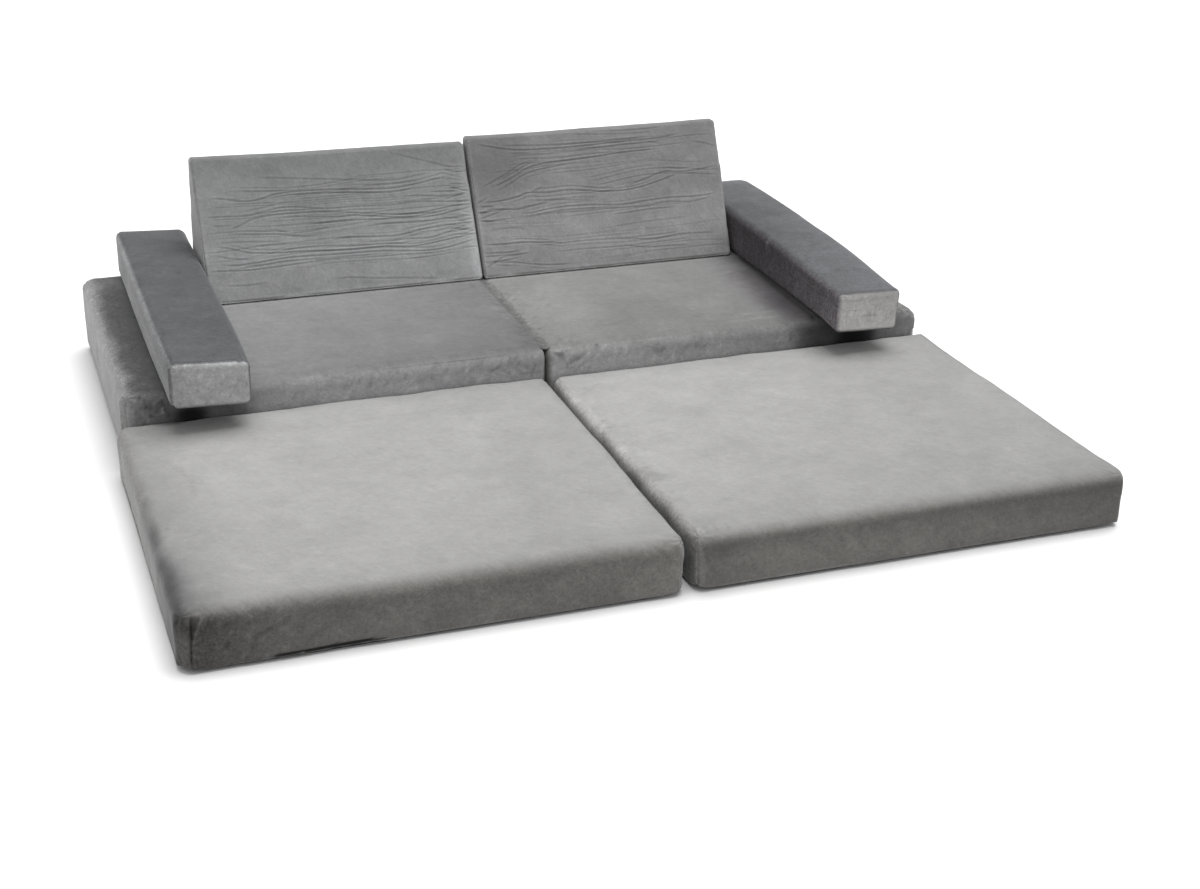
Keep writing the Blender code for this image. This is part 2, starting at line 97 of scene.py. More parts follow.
# Mesh steps of the foam on each axis, near its edges and in its middle
foam_steps = ((0.02, 0.02, 0.02), (0.04, 0.04, 0.03))


# Noise
def smooth(t):
    t = np.clip(t, 0, 1)
    return t * t * (3 - 2 * t)


def hashed(cell, seed):
    """A value from -1 to 1 for each whole-number cell."""
    x, y, z = (cell[..., i] for i in range(3))
    mixed = (x * 73856093) ^ (y * 19349663) ^ (z * 83492791) ^ (seed * 2654435761)
    mixed = ((mixed ^ (mixed >> 13)) * 1274126177) & 0xFFFFFFFF
    mixed = ((mixed ^ (mixed >> 15)) * 2246822519) & 0xFFFFFFFF
    mixed = mixed ^ (mixed >> 13)
    return (mixed & 0xFFFFFF) / 0xFFFFFF * 2 - 1


def noise(points, size, seed):
    """Smooth noise from -1 to 1 whose cells have one size in metres, or one for each axis."""
    at = points / np.asarray(size, float)
    cell = np.floor(at).astype(np.int64)
    inside = at - cell
    ease = inside**3 * (inside * (inside * 6 - 15) + 10)
    total = 0.0
    for corner in np.ndindex(2, 2, 2):
        weight = np.prod(np.where(corner, ease, 1 - ease), axis=-1)
        total = total + weight * hashed(cell + np.array(corner), seed)
    return total


def layered(points, size, seed, layers=2, gain=0.5):
    """Noise with finer layers over it, each half the size of the one before."""
    size, order = np.asarray(size, float), range(layers)
    return sum(gain**step * noise(points, size / 2**step, seed + 17 * step) for step in order)


# Mesh grids
def spread(low, high, fine, coarse, reach):
    """Lines across a span, closer to each other near its ends."""
    t = np.linspace(low, high, 2001)
    gap = fine + (coarse - fine) * smooth(np.minimum(t - low, high - t) / reach)
    count = np.concatenate([[0], np.cumsum((1 / gap[:-1] + 1 / gap[1:]) / 2 * np.diff(t))])
    return np.interp(np.linspace(0, count[-1], math.ceil(count[-1]) + 1), count, t)


def edge_lines(radius):
    """Where lines on a rounded edge come from on the sharp one's face, the seam's first."""
    steps = np.array([step for step in seam_steps if step < 0.93 * radius * math.pi / 4])
    return radius * (1 - np.tan(math.pi / 4 - steps / radius))


def lines_across(low, high, radii, middle):
    return np.concatenate([low + edge_lines(radii[0]), middle, high - edge_lines(radii[1])[::-1]])


def surface_grid(counts):
    """The index triples of a box grid's surface, and its quads facing outward."""
    inner = np.zeros(counts, bool)
    inner[1:-1, 1:-1, 1:-1] = True
    keys = np.argwhere(~inner)
    ids = np.full(counts, -1)
    ids[~inner] = np.arange(len(keys))
    quads = []
    for axis in range(3):
        for end in (0, counts[axis] - 1):
            sheet = np.take(ids, end, axis=axis)
            a, b, c, d = sheet[:-1, :-1], sheet[1:, :-1], sheet[1:, 1:], sheet[:-1, 1:]
            turned = (end == 0) != (axis == 1)
            quads.append(np.stack([a, d, c, b] if turned else [a, b, c, d], -1).reshape(-1, 4))
    return keys, np.concatenate(quads)


def mesh_object(name, points, quads, shade_smooth=True):
    mesh = bpy.data.meshes.new(name)
    mesh.vertices.add(len(points))
    mesh.vertices.foreach_set("co", np.asarray(points, np.float32).ravel())
    mesh.loops.add(quads.size)
    mesh.loops.foreach_set("vertex_index", quads.ravel().astype(np.int32))
    mesh.polygons.add(len(quads))
    mesh.polygons.foreach_set("loop_start", np.arange(0, quads.size, 4, dtype=np.int32))
    mesh.update(calc_edges=True)
    if shade_smooth:
        mesh.shade_smooth()
    made = bpy.data.objects.new(name, mesh)
    bpy.context.scene.collection.objects.link(made)
    return made


def arc(gap, radius):
    """A distance from a sharp edge as the distance along the rounded one."""
    turned = radius * (math.pi / 4 - np.arctan(np.clip(1 - gap / radius, 0, 1)))
    return turned + np.maximum(gap - radius, 0)


def inset_outline(corners, distance):
    count = len(corners)
    lines = []
    for i, start in enumerate(corners):
        along = corners[(i + 1) % count] - start
        along = along / np.linalg.norm(along)
        lines.append((start + np.array([-along[1], along[0]]) * distance, along))
    moved = []
    for i in range(count):
        (p, d), (q, e) = lines[i - 1], lines[i]
        step = ((q - p)[0] * e[1] - (q - p)[1] * e[0]) / (d[0] * e[1] - d[1] * e[0])
        moved.append(p + d * step)
    return moved


def nearest_inside(points, corners):
    """The nearest point of a convex outline and its inside."""
    best = np.full(len(points), np.inf)
    found = points.copy()
    inside = np.ones(len(points), bool)
    for i, start in enumerate(corners):
        edge = corners[(i + 1) % len(corners)] - start
        offset = points - start
        inside &= edge[0] * offset[:, 1] - edge[1] * offset[:, 0] >= 0
        share = np.clip(offset @ edge / (edge @ edge), 0, 1)
        candidate = start + share[:, None] * edge
        distance = np.linalg.norm(points - candidate, axis=1)
        nearer = distance < best
        best[nearer] = distance[nearer]
        found[nearer] = candidate[nearer]
    found[inside] = points[inside]
    return found


def plane_of(axis):
    """The two axes of the faces that lie across an axis."""
    return [other for other in range(3) if other != axis]


class Form:
    """The surface of a soft block, from a grid on a box whose edges are then rounded.

    sharp holds each vertex's place on the sharp box and share the same from 0 to 1, point its
    place on the rounded form, normal the way out, lift how far it moves that way, tone and tint
    how the nap lies there and the light and shade painted on it, and mottle how patchy it is.
    seed starts the block's own noise.
    """

    def __init__(self, lines, radii):
        self.keys, self.quads = surface_grid(tuple(len(line) for line in lines))
        self.counts = tuple(len(line) for line in lines)
        self.sharp = np.stack([lines[axis][self.keys[:, axis]] for axis in range(3)], -1)
        self.low = np.array([line[0] for line in lines])
        self.high = np.array([line[-1] for line in lines])
        self.size = self.high - self.low
        self.share = (self.sharp - self.low) / self.size
        self.radii = radii
        self.lift = np.zeros(len(self.keys))
        self.tone = np.ones(len(self.keys))
        self.tint = np.ones((len(self.keys), 3))
        self.mottle = np.ones(len(self.keys))
        self.seed = 0

    def round_box(self):
        low_radii = np.array([pair[0] for pair in self.radii])
        high_radii = np.array([pair[1] for pair in self.radii])
        core = np.clip(self.sharp, self.low + low_radii, self.high - high_radii)
        offset = self.sharp - core
        radius = np.where(offset < 0, low_radii, high_radii)
        unit = offset / radius
        unit /= np.linalg.norm(unit, axis=1, keepdims=True)
        self.point = core + unit * radius
        self.normal = unit / radius
        self.normal /= np.linalg.norm(self.normal, axis=1, keepdims=True)

    def round_wedge(self, outline, radius):
        """Shapes the box into a wedge whose end outline is given in (y, z), from its front foot."""
        front_foot, rear_foot, rear_top, front_top = (np.array(corner) for corner in outline)
        across, up = self.share[:, 1:2], self.share[:, 2:3]
        lower = front_foot + (rear_foot - front_foot) * across
        upper = front_top + (rear_top - front_top) * across
        flat = lower + (upper - lower) * up
        corners = inset_outline([front_foot, rear_foot, rear_top, front_top], radius)
        core_x = np.clip(self.sharp[:, 0], self.low[0] + radius, self.high[0] - radius)
        core = np.column_stack([core_x, nearest_inside(flat, corners)])
        unit = np.column_stack([self.sharp[:, 0], flat]) - core
        unit /= np.linalg.norm(unit, axis=1, keepdims=True)
        self.point = core + unit * radius
        self.normal = unit

    def on_end(self, face):
        axis, end = face
        return self.keys[:, axis] == (self.counts[axis] - 1 if end else 0)

    def facing(self, face):
        """How much each vertex faces one way; the six ways add up to 1."""
        axis, end = face
        return np.maximum(self.normal[:, axis] * (1 if end else -1), 0) ** 2

    def gap(self, face):
        """Distance from the sharp box's face."""
        axis, end = face
        return np.abs(self.sharp[:, axis] - (self.high if end else self.low)[axis])

    def seam_distance(self, face):
        """Distance along the surface from the seam round one end face."""
        axis, end = face
        across = [
            arc(self.gap((other, side)), self.radii[other][side])
            for other in plane_of(axis)
            for side in range(2)
        ]
        outside = arc(self.gap(face), self.radii[axis][end])
        return np.where(self.on_end(face), np.min(across, axis=0), outside)

    def placed(self):
        return self.point + self.normal * self.lift[:, None]


# Shaping
def through(points, per_step=6):
    """A smooth line through points."""
    p = np.asarray(points, float)
    if len(p) < 3:
        return p
    p = np.vstack([2 * p[0] - p[1], p, 2 * p[-1] - p[-2]])
    line = []
    for i in range(1, len(p) - 2):
        a, b, c, d = p[i - 1 : i + 3]
        for t in np.arange(per_step) / per_step:
            curved = 2 * b + (c - a) * t + (2 * a - 5 * b + 4 * c - d) * t**2
            line.append((curved + (3 * b - a - 3 * c + d) * t**3) / 2)
    line.append(p[-2])
    return np.array(line)


def along_path(form, face, path, size, reach):
    """The vertices near a path on one face: their rows, signed distance and fade at its ends."""
    plane = plane_of(face[0])
    scale = form.size[plane] if size is None else np.array(size)
    flat = form.share[:, plane] * scale
    line = through(np.asarray(path) * scale)
    near = form.facing(face) > 0.4
    near &= np.all((flat > line.min(0) - reach) & (flat < line.max(0) + reach), axis=1)
    rows = np.nonzero(near)[0]
    at = flat[rows]
    best = np.full(len(rows), np.inf)
    side, along = np.zeros(len(rows)), np.zeros(len(rows))
    steps = np.diff(line, axis=0)
    lengths = np.linalg.norm(steps, axis=1)
    run = np.concatenate([[0], np.cumsum(lengths)])
    for i, step in enumerate(steps):
        offset = at - line[i]
        share = np.clip(offset @ step / max(step @ step, 1e-12), 0, 1)
        away = offset - share[:, None] * step
        distance = np.linalg.norm(away, axis=1)
        nearer = distance < best
        best[nearer] = distance[nearer]
        side[nearer] = np.sign(step[0] * away[:, 1] - step[1] * away[:, 0])[nearer]
        along[nearer] = (run[i] + share * lengths[i])[nearer]
    fade = smooth(np.minimum(along, run[-1] - along) / min(0.3 * run[-1], 0.03))
    return rows, best * np.where(side < 0, -1, 1), fade


def crease(form, face, path, depth, width, size=None, ridge=0.35, shade=0.16):
    """Presses a groove with a ridge beside it along a path on one face, in shares of the face, and paints
    shade into the groove and a little light on the ridge, as much as shade says; a shade below 0 paints a
    light line instead.
    """
    rows, away, fade = along_path(form, face, path, size, 6 * width)
    groove = np.exp(-((away / width) ** 2))
    above = np.exp(-(((away - 2.0 * width) / (1.3 * width)) ** 2))
    below = np.exp(-(((away + 2.0 * width) / (1.3 * width)) ** 2))
    form.lift[rows] += depth * fade * (ridge * above + 0.4 * ridge * below - groove)
    form.tone[rows] *= 1 + fade * shade * (0.25 * above - groove)


def brush(form, face, path, gain, width):
    """Lightens or darkens a stroke along a path on one face, in shares of the face, for strokes of the nap
    and for painted lines of shade.
    """
    rows, away, fade = along_path(form, face, path, None, 4 * width)
    form.tone[rows] *= 1 + gain * fade * np.exp(-((away / width) ** 2))


def ruffle(form, face, low, high, count, run, tilt, gain, width, offset):
    """Scatters short strokes of turned nap over part of one face, low to high in shares of it."""
    rng = np.random.default_rng(form.seed + offset)
    size = form.size[plane_of(face[0])]
    for _ in range(count):
        start, angle = rng.uniform(low, high), tilt + rng.normal(0, 0.35)
        step = rng.uniform(0.5, 1.3) * run * np.array([math.cos(angle), math.sin(angle)])
        bend = rng.normal(0, 0.12) * np.array([-step[1], step[0]])
        path = [start, start + (step / 2 + bend) / size, start + step / size]
        brush(form, face, path, rng.normal(0, gain), width)


def patch(form, face, spot, reach, gain, offset, power=2.0, tint=neutral):
    """Lightens or darkens a soft-edged patch of one face, its spot and reach in shares of it, for turned
    nap and for painted light and shade.
    """
    away = (form.share[:, plane_of(face[0])] - spot) / reach
    ragged = 1 + 0.30 * layered(form.point, 0.06, form.seed + offset + 3, 3)
    weight = np.exp(-(np.linalg.norm(away, axis=1) * ragged) ** power) * form.facing(face)
    form.tone *= 1 + gain * weight
    form.tint *= 1 + weight[:, None] * (np.array(tint) - 1)


def ramp(form, face, along, *stops, power=1.0):
    """Shades one face along an axis, through stops of (share, tone)."""
    share, tone = zip(*stops)
    ragged = form.share[:, along] + 0.012 * layered(form.point, 0.05, 7, 2)
    level = np.interp(ragged, share, tone)
    form.tone *= 1 + (level - 1) * form.facing(face) ** power


def seam(form, face, depth=0.0014, width=0.0015, puff=0.0008, offset=0, shade=0.14, over=0.15):
    """Sinks the seam round an end face, with painted shade in its groove and a little painted light on the
    puff beside it; the pile hides most of it where it runs over the top.
    """
    seed = form.seed + offset
    away = form.seam_distance(face)
    pucker = noise(form.point, 0.013, seed + 1)
    down = smooth(form.gap(top) / form.radii[2][1] - 0.3)
    shown = (over + (1 - over) * down) * (0.85 + 0.4 * noise(form.point, 0.04, seed + 8))
    beside = np.exp(-(((away - 3.4 * width) / (2.6 * width)) ** 2))
    groove = np.exp(-((away / width) ** 2))
    form.lift += shown * (puff * (1 + 0.9 * pucker) * beside - depth * groove)
    form.tone *= 1 + shown * (0.04 * beside - shade * groove)


def tucked_foot_and_shade(form, spot=None):
    """Turns the cloth in under a block, and paints the shade of the gap above the floor, so that a wavy
    dark line shows there.
    """
    seed = form.seed + 9
    above = np.where(form.on_end(underside), -1, 1) * form.seam_distance(underside)
    limit = 0.0012 + 0.0011 * noise(form.point, (0.07, 0.07, 1), seed)
    limit += 0.0005 * noise(form.point, (0.015, 0.015, 1), seed + 1)
    if spot is not None:
        limit += 0.0105 * np.exp(-(((form.share[:, 0] - spot) / 0.12) ** 4)) * form.facing(front)
    tuck_and_shade = smooth((limit - above) / 0.0014) * smooth((above + 0.008) / 0.003)
    form.lift -= 0.0018 * tuck_and_shade
    # Painted shade of the gap under the block
    form.tone *= 1 - 0.86 * tuck_and_shade


def unevenness(form, broad, small):
    """Slack cloth over foam is never quite flat."""
    up = 1 - form.facing(underside)
    form.lift += broad * up * layered(form.point, (0.17, 0.17, 0.10), form.seed)
    form.lift += small * up * layered(form.point, (0.045, 0.045, 0.035), form.seed + 5)


def pinch(form, ends, reach, pleats, depth, offset):
    """Small pleats that run out from one corner of the block, with light and shade painted along them."""
    seed = form.seed + offset
    out = np.array(ends) * 2 - 1
    radii = np.array([form.radii[axis][ends[axis]] for axis in range(3)])
    corner = np.where(ends, form.high, form.low) - out * 0.3 * radii
    diagonal = out / np.sqrt(3)
    first = np.cross(diagonal, (0, 0, 1))
    first /= np.linalg.norm(first)
    second = np.cross(diagonal, first)
    away = form.point - corner
    far = np.linalg.norm(away, axis=1) / reach
    angle = np.arctan2(away @ second, away @ first)
    wave = np.cos(pleats * angle + 2 * noise(form.point, 0.03, seed) + seed)
    weight = far * np.exp(1 - far) * np.exp(-((far / 2.2) ** 2))
    form.lift += depth * weight * wave
    form.tone *= 1 + 0.07 * weight * wave


def dome(share):
    return 1 - np.abs(2 * share - 1) ** 3


def paint(form, *looks, power=1.6):
    """Gives each side its (tone, tint): left, right, front, rear, underside, top; a side's tone is partly
    its nap and partly painted light and shade for how the light falls on it.
    """
    weights = np.array([form.facing(face) ** power for face in faces])
    weights /= weights.sum(0)
    form.tone *= weights.T @ np.array([tone for tone, _ in looks])
    form.tint *= weights.T @ np.array([tint for _, tint in looks])


def mottled(form, *amounts):
    """Ruffles the nap by a share for each side: left, right, front, rear, underside, top."""
    share = sum(form.facing(face) * amount for face, amount in zip(faces, amounts))
    cells = layered(form.point, (0.050, 0.038, 0.034), form.seed, 3, 0.7)
    form.tone *= 1 + share * cells
    form.mottle = 0.3 + 0.9 * (share / 0.09) ** 1.5


def hold_back(form, face, where=None):
    """Keeps a side that rests on a neighbour from standing proud of it."""
    rows = form.facing(face) > 0.2
    if where is not None:
        rows &= where
    form.lift[rows] = np.minimum(form.lift[rows], 0)


# Materials
class Shading:
    """A material with its shader, and short ways to add nodes to it."""

    def __init__(self, name, **settings):
        self.material = bpy.data.materials.new(name)
        self.material.use_nodes = True
        self.nodes, self.links = self.material.node_tree.nodes, self.material.node_tree.links
        self.nodes.clear()
        self.shader = self.add("BsdfPrincipled", **settings)
        output = self.add("OutputMaterial")
        self.links.new(self.shader.outputs["BSDF"], output.inputs["Surface"])

    def feed(self, socket, value):
        """Links another node's output to a socket, or sets the socket to a plain value."""
        if isinstance(value, bpy.types.NodeSocket):
            self.links.new(value, socket)
        else:
            socket.default_value = value

    def add(self, kind, **inputs):
        """Adds a node, with its inputs by name, an underscore for each space."""
        made = self.nodes.new("ShaderNode" + kind)
        for name, value in inputs.items():
            self.feed(made.inputs[name.replace("_", " ")], value)
        return made

    def place(self):
        return self.add("TexCoord").outputs["Object"]

    def math(self, operation, *values):
        made = self.add("Math")
        made.operation = operation
        for socket, value in zip(made.inputs, values):
            self.feed(socket, value)
        return made.outputs[0]

    def swing(self, value, amount):
        """Turns a noise from 0 to 1 into a factor about 1."""
        return self.math("MULTIPLY_ADD", self.math("SUBTRACT", value, 0.5), 2 * amount, 1.0)

    def noise(self, vector, scale, detail, roughness=0.55, distortion=0.0):
        made = self.add("TexNoise", Vector=vector, Scale=scale, Detail=detail)
        self.feed(made.inputs["Roughness"], roughness)
        self.feed(made.inputs["Distortion"], distortion)
        return made.outputs["Fac"]

    def mapped(self, vector, scale, rotation=(0, 0, 0)):
        return self.add("Mapping", Vector=vector, Scale=scale, Rotation=rotation).outputs["Vector"]

    def tint(self, colour, level):
        """Colours the shader, lighter and darker by a level."""
        scaled = self.add("VectorMath")
        scaled.operation = "SCALE"
        self.feed(scaled.inputs[0], colour)
        self.feed(scaled.inputs["Scale"], level)
        self.feed(self.shader.inputs["Base Color"], scaled.outputs[0])

    def bump(self, height, strength, distance):
        made = self.add("Bump", Height=height, Strength=strength, Distance=distance)
        self.feed(self.shader.inputs["Normal"], made.outputs["Normal"])


def velvet_material():
    """Short-pile velvet: broad brushed patches, strokes of the nap, and the grain of the pile, over the
    vertex colour that holds the nap and the painted light and shade.
    """
    look = Shading(
        "grey_velvet", Roughness=0.92, Specular_IOR_Level=0.12,
        Sheen_Weight=0.22, Sheen_Roughness=0.35, Sheen_Tint=(0.9, 0.9, 0.92, 1.0),
    )
    place = look.place()
    nap_and_shading = look.add("Attribute")
    nap_and_shading.attribute_name = "nap_and_shading"
    dyed = look.add("VectorMath")
    dyed.operation = "MULTIPLY"
    look.feed(dyed.inputs[0], nap_and_shading.outputs["Color"])
    look.feed(dyed.inputs[1], velvet_grey)
    mottle = look.noise(place, 46.0, 5, 0.68, 0.9)
    fuzz = look.noise(place, 210.0, 3, 0.7, 0.6)
    grain = look.noise(place, 430.0, 3, 0.8)
    turned = look.mapped(place, (1, 1, 1), (0.35, -0.75, 0.5))
    strokes = look.noise(look.mapped(turned, (30, 150, 130)), 1.0, 4, 0.68, 0.9)
    level = look.swing(look.noise(place, 7.0, 5, 0.6, 0.5), 0.17)
    patchy = nap_and_shading.outputs["Alpha"]
    fuzzy = look.math("MULTIPLY", patchy, patchy)
    layers = ((mottle, 0.22, patchy), (strokes, 0.36, patchy), (fuzz, 0.40, fuzzy), (grain, 0.35, fuzzy))
    for value, amount, share in layers:
        ruffled = look.math("MULTIPLY", share, 2 * amount)
        factor = look.math("MULTIPLY_ADD", look.math("SUBTRACT", value, 0.5), ruffled, 1.0)
        level = look.math("MULTIPLY", level, factor)
    pile = look.noise(place, 1700.0, 2, 0.7)
    look.tint(dyed.outputs[0], look.math("MULTIPLY", level, look.swing(pile, 0.2)))
    look.bump(look.math("MULTIPLY_ADD", mottle, 1.2, fuzz), 0.32, 0.0009)
    return look.material


def foam_material():
    look = Shading("cut_foam", Roughness=0.95)
    cells = look.add("TexVoronoi", Vector=look.place(), Scale=700.0).outputs["Distance"]
    look.tint((0.83, 0.78, 0.62), look.swing(cells, 0.2))
    look.bump(cells, 0.5, 0.0008)
    return look.material


def panel_material():
    """Dark felted cloth with a grid of small non-slip dots."""
    look = Shading("non_slip_cloth", Roughness=0.8)
    place = look.place()
    dots = look.add("TexVoronoi", Vector=look.mapped(place, (1, 1, 0)), Scale=140.0, Randomness=0.0)
    dot = look.math("LESS_THAN", dots.outputs["Distance"], 0.26)
    fibres = look.noise(place, 500.0, 4, 0.7)
    look.tint((0.045, 0.045, 0.047), look.math("MULTIPLY_ADD", dot, -0.5, look.swing(fibres, 0.25)))
    look.bump(look.math("MULTIPLY_ADD", dot, 2.0, fibres), 0.4, 0.0005)
    return look.material


def tape_material():
    """Woven zip tape, with its ribs along the tape."""
    look = Shading("woven_tape", Roughness=0.75)
    place = look.place()
    ribbed = look.mapped(place, (1, 1, 1), (0.6, 0.3, 0.785))
    weave = look.add("TexWave", Vector=ribbed, Scale=330.0, Distortion=1.5).outputs["Fac"]
    fleck = look.noise(place, 900.0, 2)
    level = look.math("MULTIPLY", look.swing(weave, 0.18), look.swing(fleck, 0.2))
    look.tint((0.085, 0.086, 0.09), level)
    look.bump(weave, 0.35, 0.0003)
    return look.material


def metal_material():
    look = Shading("zip_metal", Metallic=1.0)
    wear = look.noise(look.place(), 260.0, 4, 0.6)
    look.tint((0.42, 0.42, 0.43), look.swing(wear, 0.12))
    look.feed(look.shader.inputs["Roughness"], look.math("MULTIPLY_ADD", wear, 0.25, 0.22))
    return look.material


velvet, foam, panel_cloth = velvet_material(), foam_material(), panel_material()
tape_cloth, metal = tape_material(), metal_material()


# Covers and foam
def put(made, body, node, material):
    made.data.materials.append(material)
    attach(made, body)
    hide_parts(node)


def set_nap_and_shading(made, colour):
    """Stores the colour of the nap and of the painted light and shade, and how patchy the nap is, at each
    vertex.
    """
    nap_and_shading = made.data.attributes.new("nap_and_shading", "FLOAT_COLOR", "POINT")
    nap_and_shading.data.foreach_set("color", colour.astype(np.float32).ravel())


def finish_cover(form, label, body):
    made = mesh_object(label + "_velvet", form.placed(), form.quads)
    set_nap_and_shading(made, np.column_stack([form.tint * form.tone[:, None], form.mottle]))
    put(made, body, label + "_cover", velvet)


def finish_foam(form, label, body):
    form.lift = np.minimum(form.lift, 0) - foam_inset
    made = mesh_object(label + "_foam", form.placed(), form.quads)
    put(made, body, label + "_foam_core", foam)


def with_lines(lines, own, least_gap):
    """Adds lines of their own to a span's, and drops the span's lines that lie too near them."""
    clear = np.abs(lines[:, None] - own).min(1) > least_gap
    clear[[0, -1]] = True
    return np.sort(np.concatenate([lines[clear], own[(own > lines[0]) & (own < lines[-1])]]))


def box_form(low, high, radii, fine, coarse, reach=0.12, zip_height=None, details=()):
    """A rounded block, with closer mesh lines where a zip's channel or a detail needs them."""
    lines = []
    for axis in range(3):
        first, last = low[axis] + radii[axis][0], high[axis] - radii[axis][1]
        middle = spread(first, last, fine[axis], coarse[axis], reach)
        if axis == 2 and zip_height is not None:
            own = zip_height + np.array([-1.35, -1.1, -0.9, 0, 0.9, 1.1, 1.35]) * channel_half
            middle = with_lines(middle, own, 0.0012)
        lines.append(lines_across(low[axis], high[axis], radii[axis], middle))
    for spot in details:
        own = low[0] + spot + 0.001 * np.array([-5.5, -3.8, -2.4, -1.2, 0, 1.2, 2.4, 3.8, 5.5])
        lines[0] = with_lines(lines[0], own, 0.0008)
    form = Form(lines, radii)
    form.round_box()
    return form


def zip_channel(form, label, face, floor):
    """Lets the cloth in around a zip, with a soft lip on both sides of it and painted shade along the edges
    of the channel.
    """
    low, high = (np.array(corner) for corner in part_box(label + "_zip_tape"))
    along = 1 - face[0]
    across = np.abs(form.point[:, 2] - (low[2] + high[2]) / 2) / channel_half
    room = 0.011
    past_ends = np.maximum(low[along] - form.point[:, along], form.point[:, along] - high[along]) - room
    facing = smooth(form.facing(face) * 2 - 0.6)
    short = smooth(1 - past_ends / 0.004)
    inside = smooth((1.12 - across) / 0.2) * short * facing
    lips = np.exp(-(((across - 1.5) / 0.45) ** 2)) * smooth(1 - past_ends / 0.008)
    form.lift += 0.0007 * lips * facing
    form.lift = form.lift * (1 - inside) - floor * inside
    # Painted shade where the cloth turns in at the channel's edges
    form.tone *= 1 - 0.18 * np.exp(-(((across - 1.05) / 0.3) ** 2)) * facing * short


def outer_and_inner(left):
    return (left_side, right_side) if left else (right_side, left_side)


# Front mats
def left_mat_nap_and_shading(form):
    """The left mat's nap and creases, darkest at its front left corner, with painted shade on the rounded
    front left shoulder, under the corner pleat's fold and under the left arm's overhanging end.
    """
    paint(
        form, (0.86, warm), (0.6, cool), (0.86, warmer), (0.8, neutral), (0.7, neutral),
        (0.99, neutral),
    )
    ramp(
        form, left_side, to_rear, (0, 0.14), (0.06, 0.17), (0.16, 0.33), (0.35, 0.69), (0.6, 0.90),
        (1, 0.96),
    )
    ramp(
        form, front, to_right, (0, 0.24), (0.05, 0.29), (0.15, 0.42), (0.4, 0.53), (0.6, 0.58),
        (0.8, 0.53), (1, 0.72),
    )
    ramp(form, left_side, upward, (0, 1.22), (0.4, 1.12), (0.62, 1.0), (0.85, 0.78), (1, 0.85))
    ramp(form, front, upward, (0, 1.08), (0.5, 1.05), (0.8, 0.90), (1, 0.95))
    ramp(
        form, top, to_right, (0, 0.72), (0.05, 0.80), (0.16, 0.99), (0.5, 1.01), (0.8, 0.95), (1, 0.96),
    )
    ramp(form, top, to_rear, (0, 0.84), (0.12, 0.94), (0.5, 1.01), (0.8, 1.03), (0.93, 1.0), (1, 0.94))
    patch(form, top, (0.33, 0.93), (0.12, 0.05), 0.12, 12)
    # Painted shadow of the left arm's overhanging end on the mat's rear edge
    patch(form, top, (0.132, 1.0), (0.046, 0.024), -0.85, 9, 4.0)
    # Painted shade on the rounded front left shoulder of the top
    patch(form, top, (0.0, 0.15), (0.052, 0.17), -0.56, 0, 3.0, colder)
    patch(form, top, (0.04, 0.05), (0.07, 0.05), -0.14, 1)
    # Painted shade on the rounded front left shoulder of the left side
    patch(form, left_side, (0.18, 1.0), (0.24, 0.34), -0.55, 0, 3.0, colder)
    # Blots that run over the left shoulder
    for v, reach, gain in (
        (0.40, 0.07, -0.28), (0.54, 0.045, -0.22), (0.66, 0.04, -0.12), (0.30, 0.03, 0.15),
        (0.47, 0.03, 0.10),
    ):
        patch(form, top, (0.0, v), (0.022, reach), gain, int(100 * v))
        patch(form, left_side, (v, 1.0), (reach, 0.22), gain, int(100 * v))
    patch(form, front, (0.06, 0.6), (0.09, 0.5), -0.16, 2)
    patch(form, front, (0.0, 0.98), (0.036, 0.26), -0.46, 13, 3.0, colder)
    patch(form, left_side, (0.0, 0.95), (0.10, 0.26), -0.30, 14, 3.0)
    # The seam of the side panel comes round the corner, with a pleat folded over at its top: painted shade
    # under the fold, and a painted light line along its edge
    path = ((0.030, 1.04), (0.0285, 0.7), (0.026, 0.35), (0.024, -0.04))
    crease(form, front, path, 0.0016, 0.0019, shade=0.62)
    for u, v, wide, tall in (
        (0.036, 0.88, 0.011, 0.09), (0.033, 0.74, 0.008, 0.10), (0.030, 0.60, 0.005, 0.10),
    ):
        patch(form, front, (u, v), (wide, tall), -0.56, 3, 4.0)
    path = ((0.060, 1.0), (0.048, 0.84), (0.036, 0.62), (0.031, 0.45))
    crease(form, front, path, 0.0010, 0.0020, shade=-0.45)
    crease(form, front, ((0.072, 0.98), (0.060, 0.80), (0.050, 0.62)), 0.0008, 0.0018, shade=0.30)
    ruffle(form, front, (0.01, 0.05), (0.20, 0.8), 60, 0.030, 0.85, 0.19, 0.0032, 0)
    ruffle(form, front, (0.2, 0.05), (0.97, 0.9), 70, 0.024, 0.5, 0.06, 0.0035, 1)
    ruffle(form, left_side, (0.0, 0.1), (0.95, 0.9), 60, 0.022, 1.0, 0.08, 0.0045, 2)
    ruffle(form, top, (0.0, 0.02), (0.10, 0.98), 60, 0.022, 1.1, 0.05, 0.0045, 3)
    crease(form, top, ((0.36, 0.845), (0.46, 0.84), (0.58, 0.845), (0.72, 0.85)), 0.0005, 0.005, shade=0.05)
    crease(form, top, ((0.05, 0.80), (0.09, 0.72), (0.115, 0.62), (0.11, 0.52)), 0.0006, 0.006, shade=0.08)
    crease(form, front, ((0.93, 0.93), (0.955, 0.72), (0.97, 0.5)), 0.0012, 0.0030, shade=0.15)
    crease(form, front, ((0.96, 0.95), (0.978, 0.80), (0.985, 0.6)), 0.0012, 0.0026, shade=0.15)


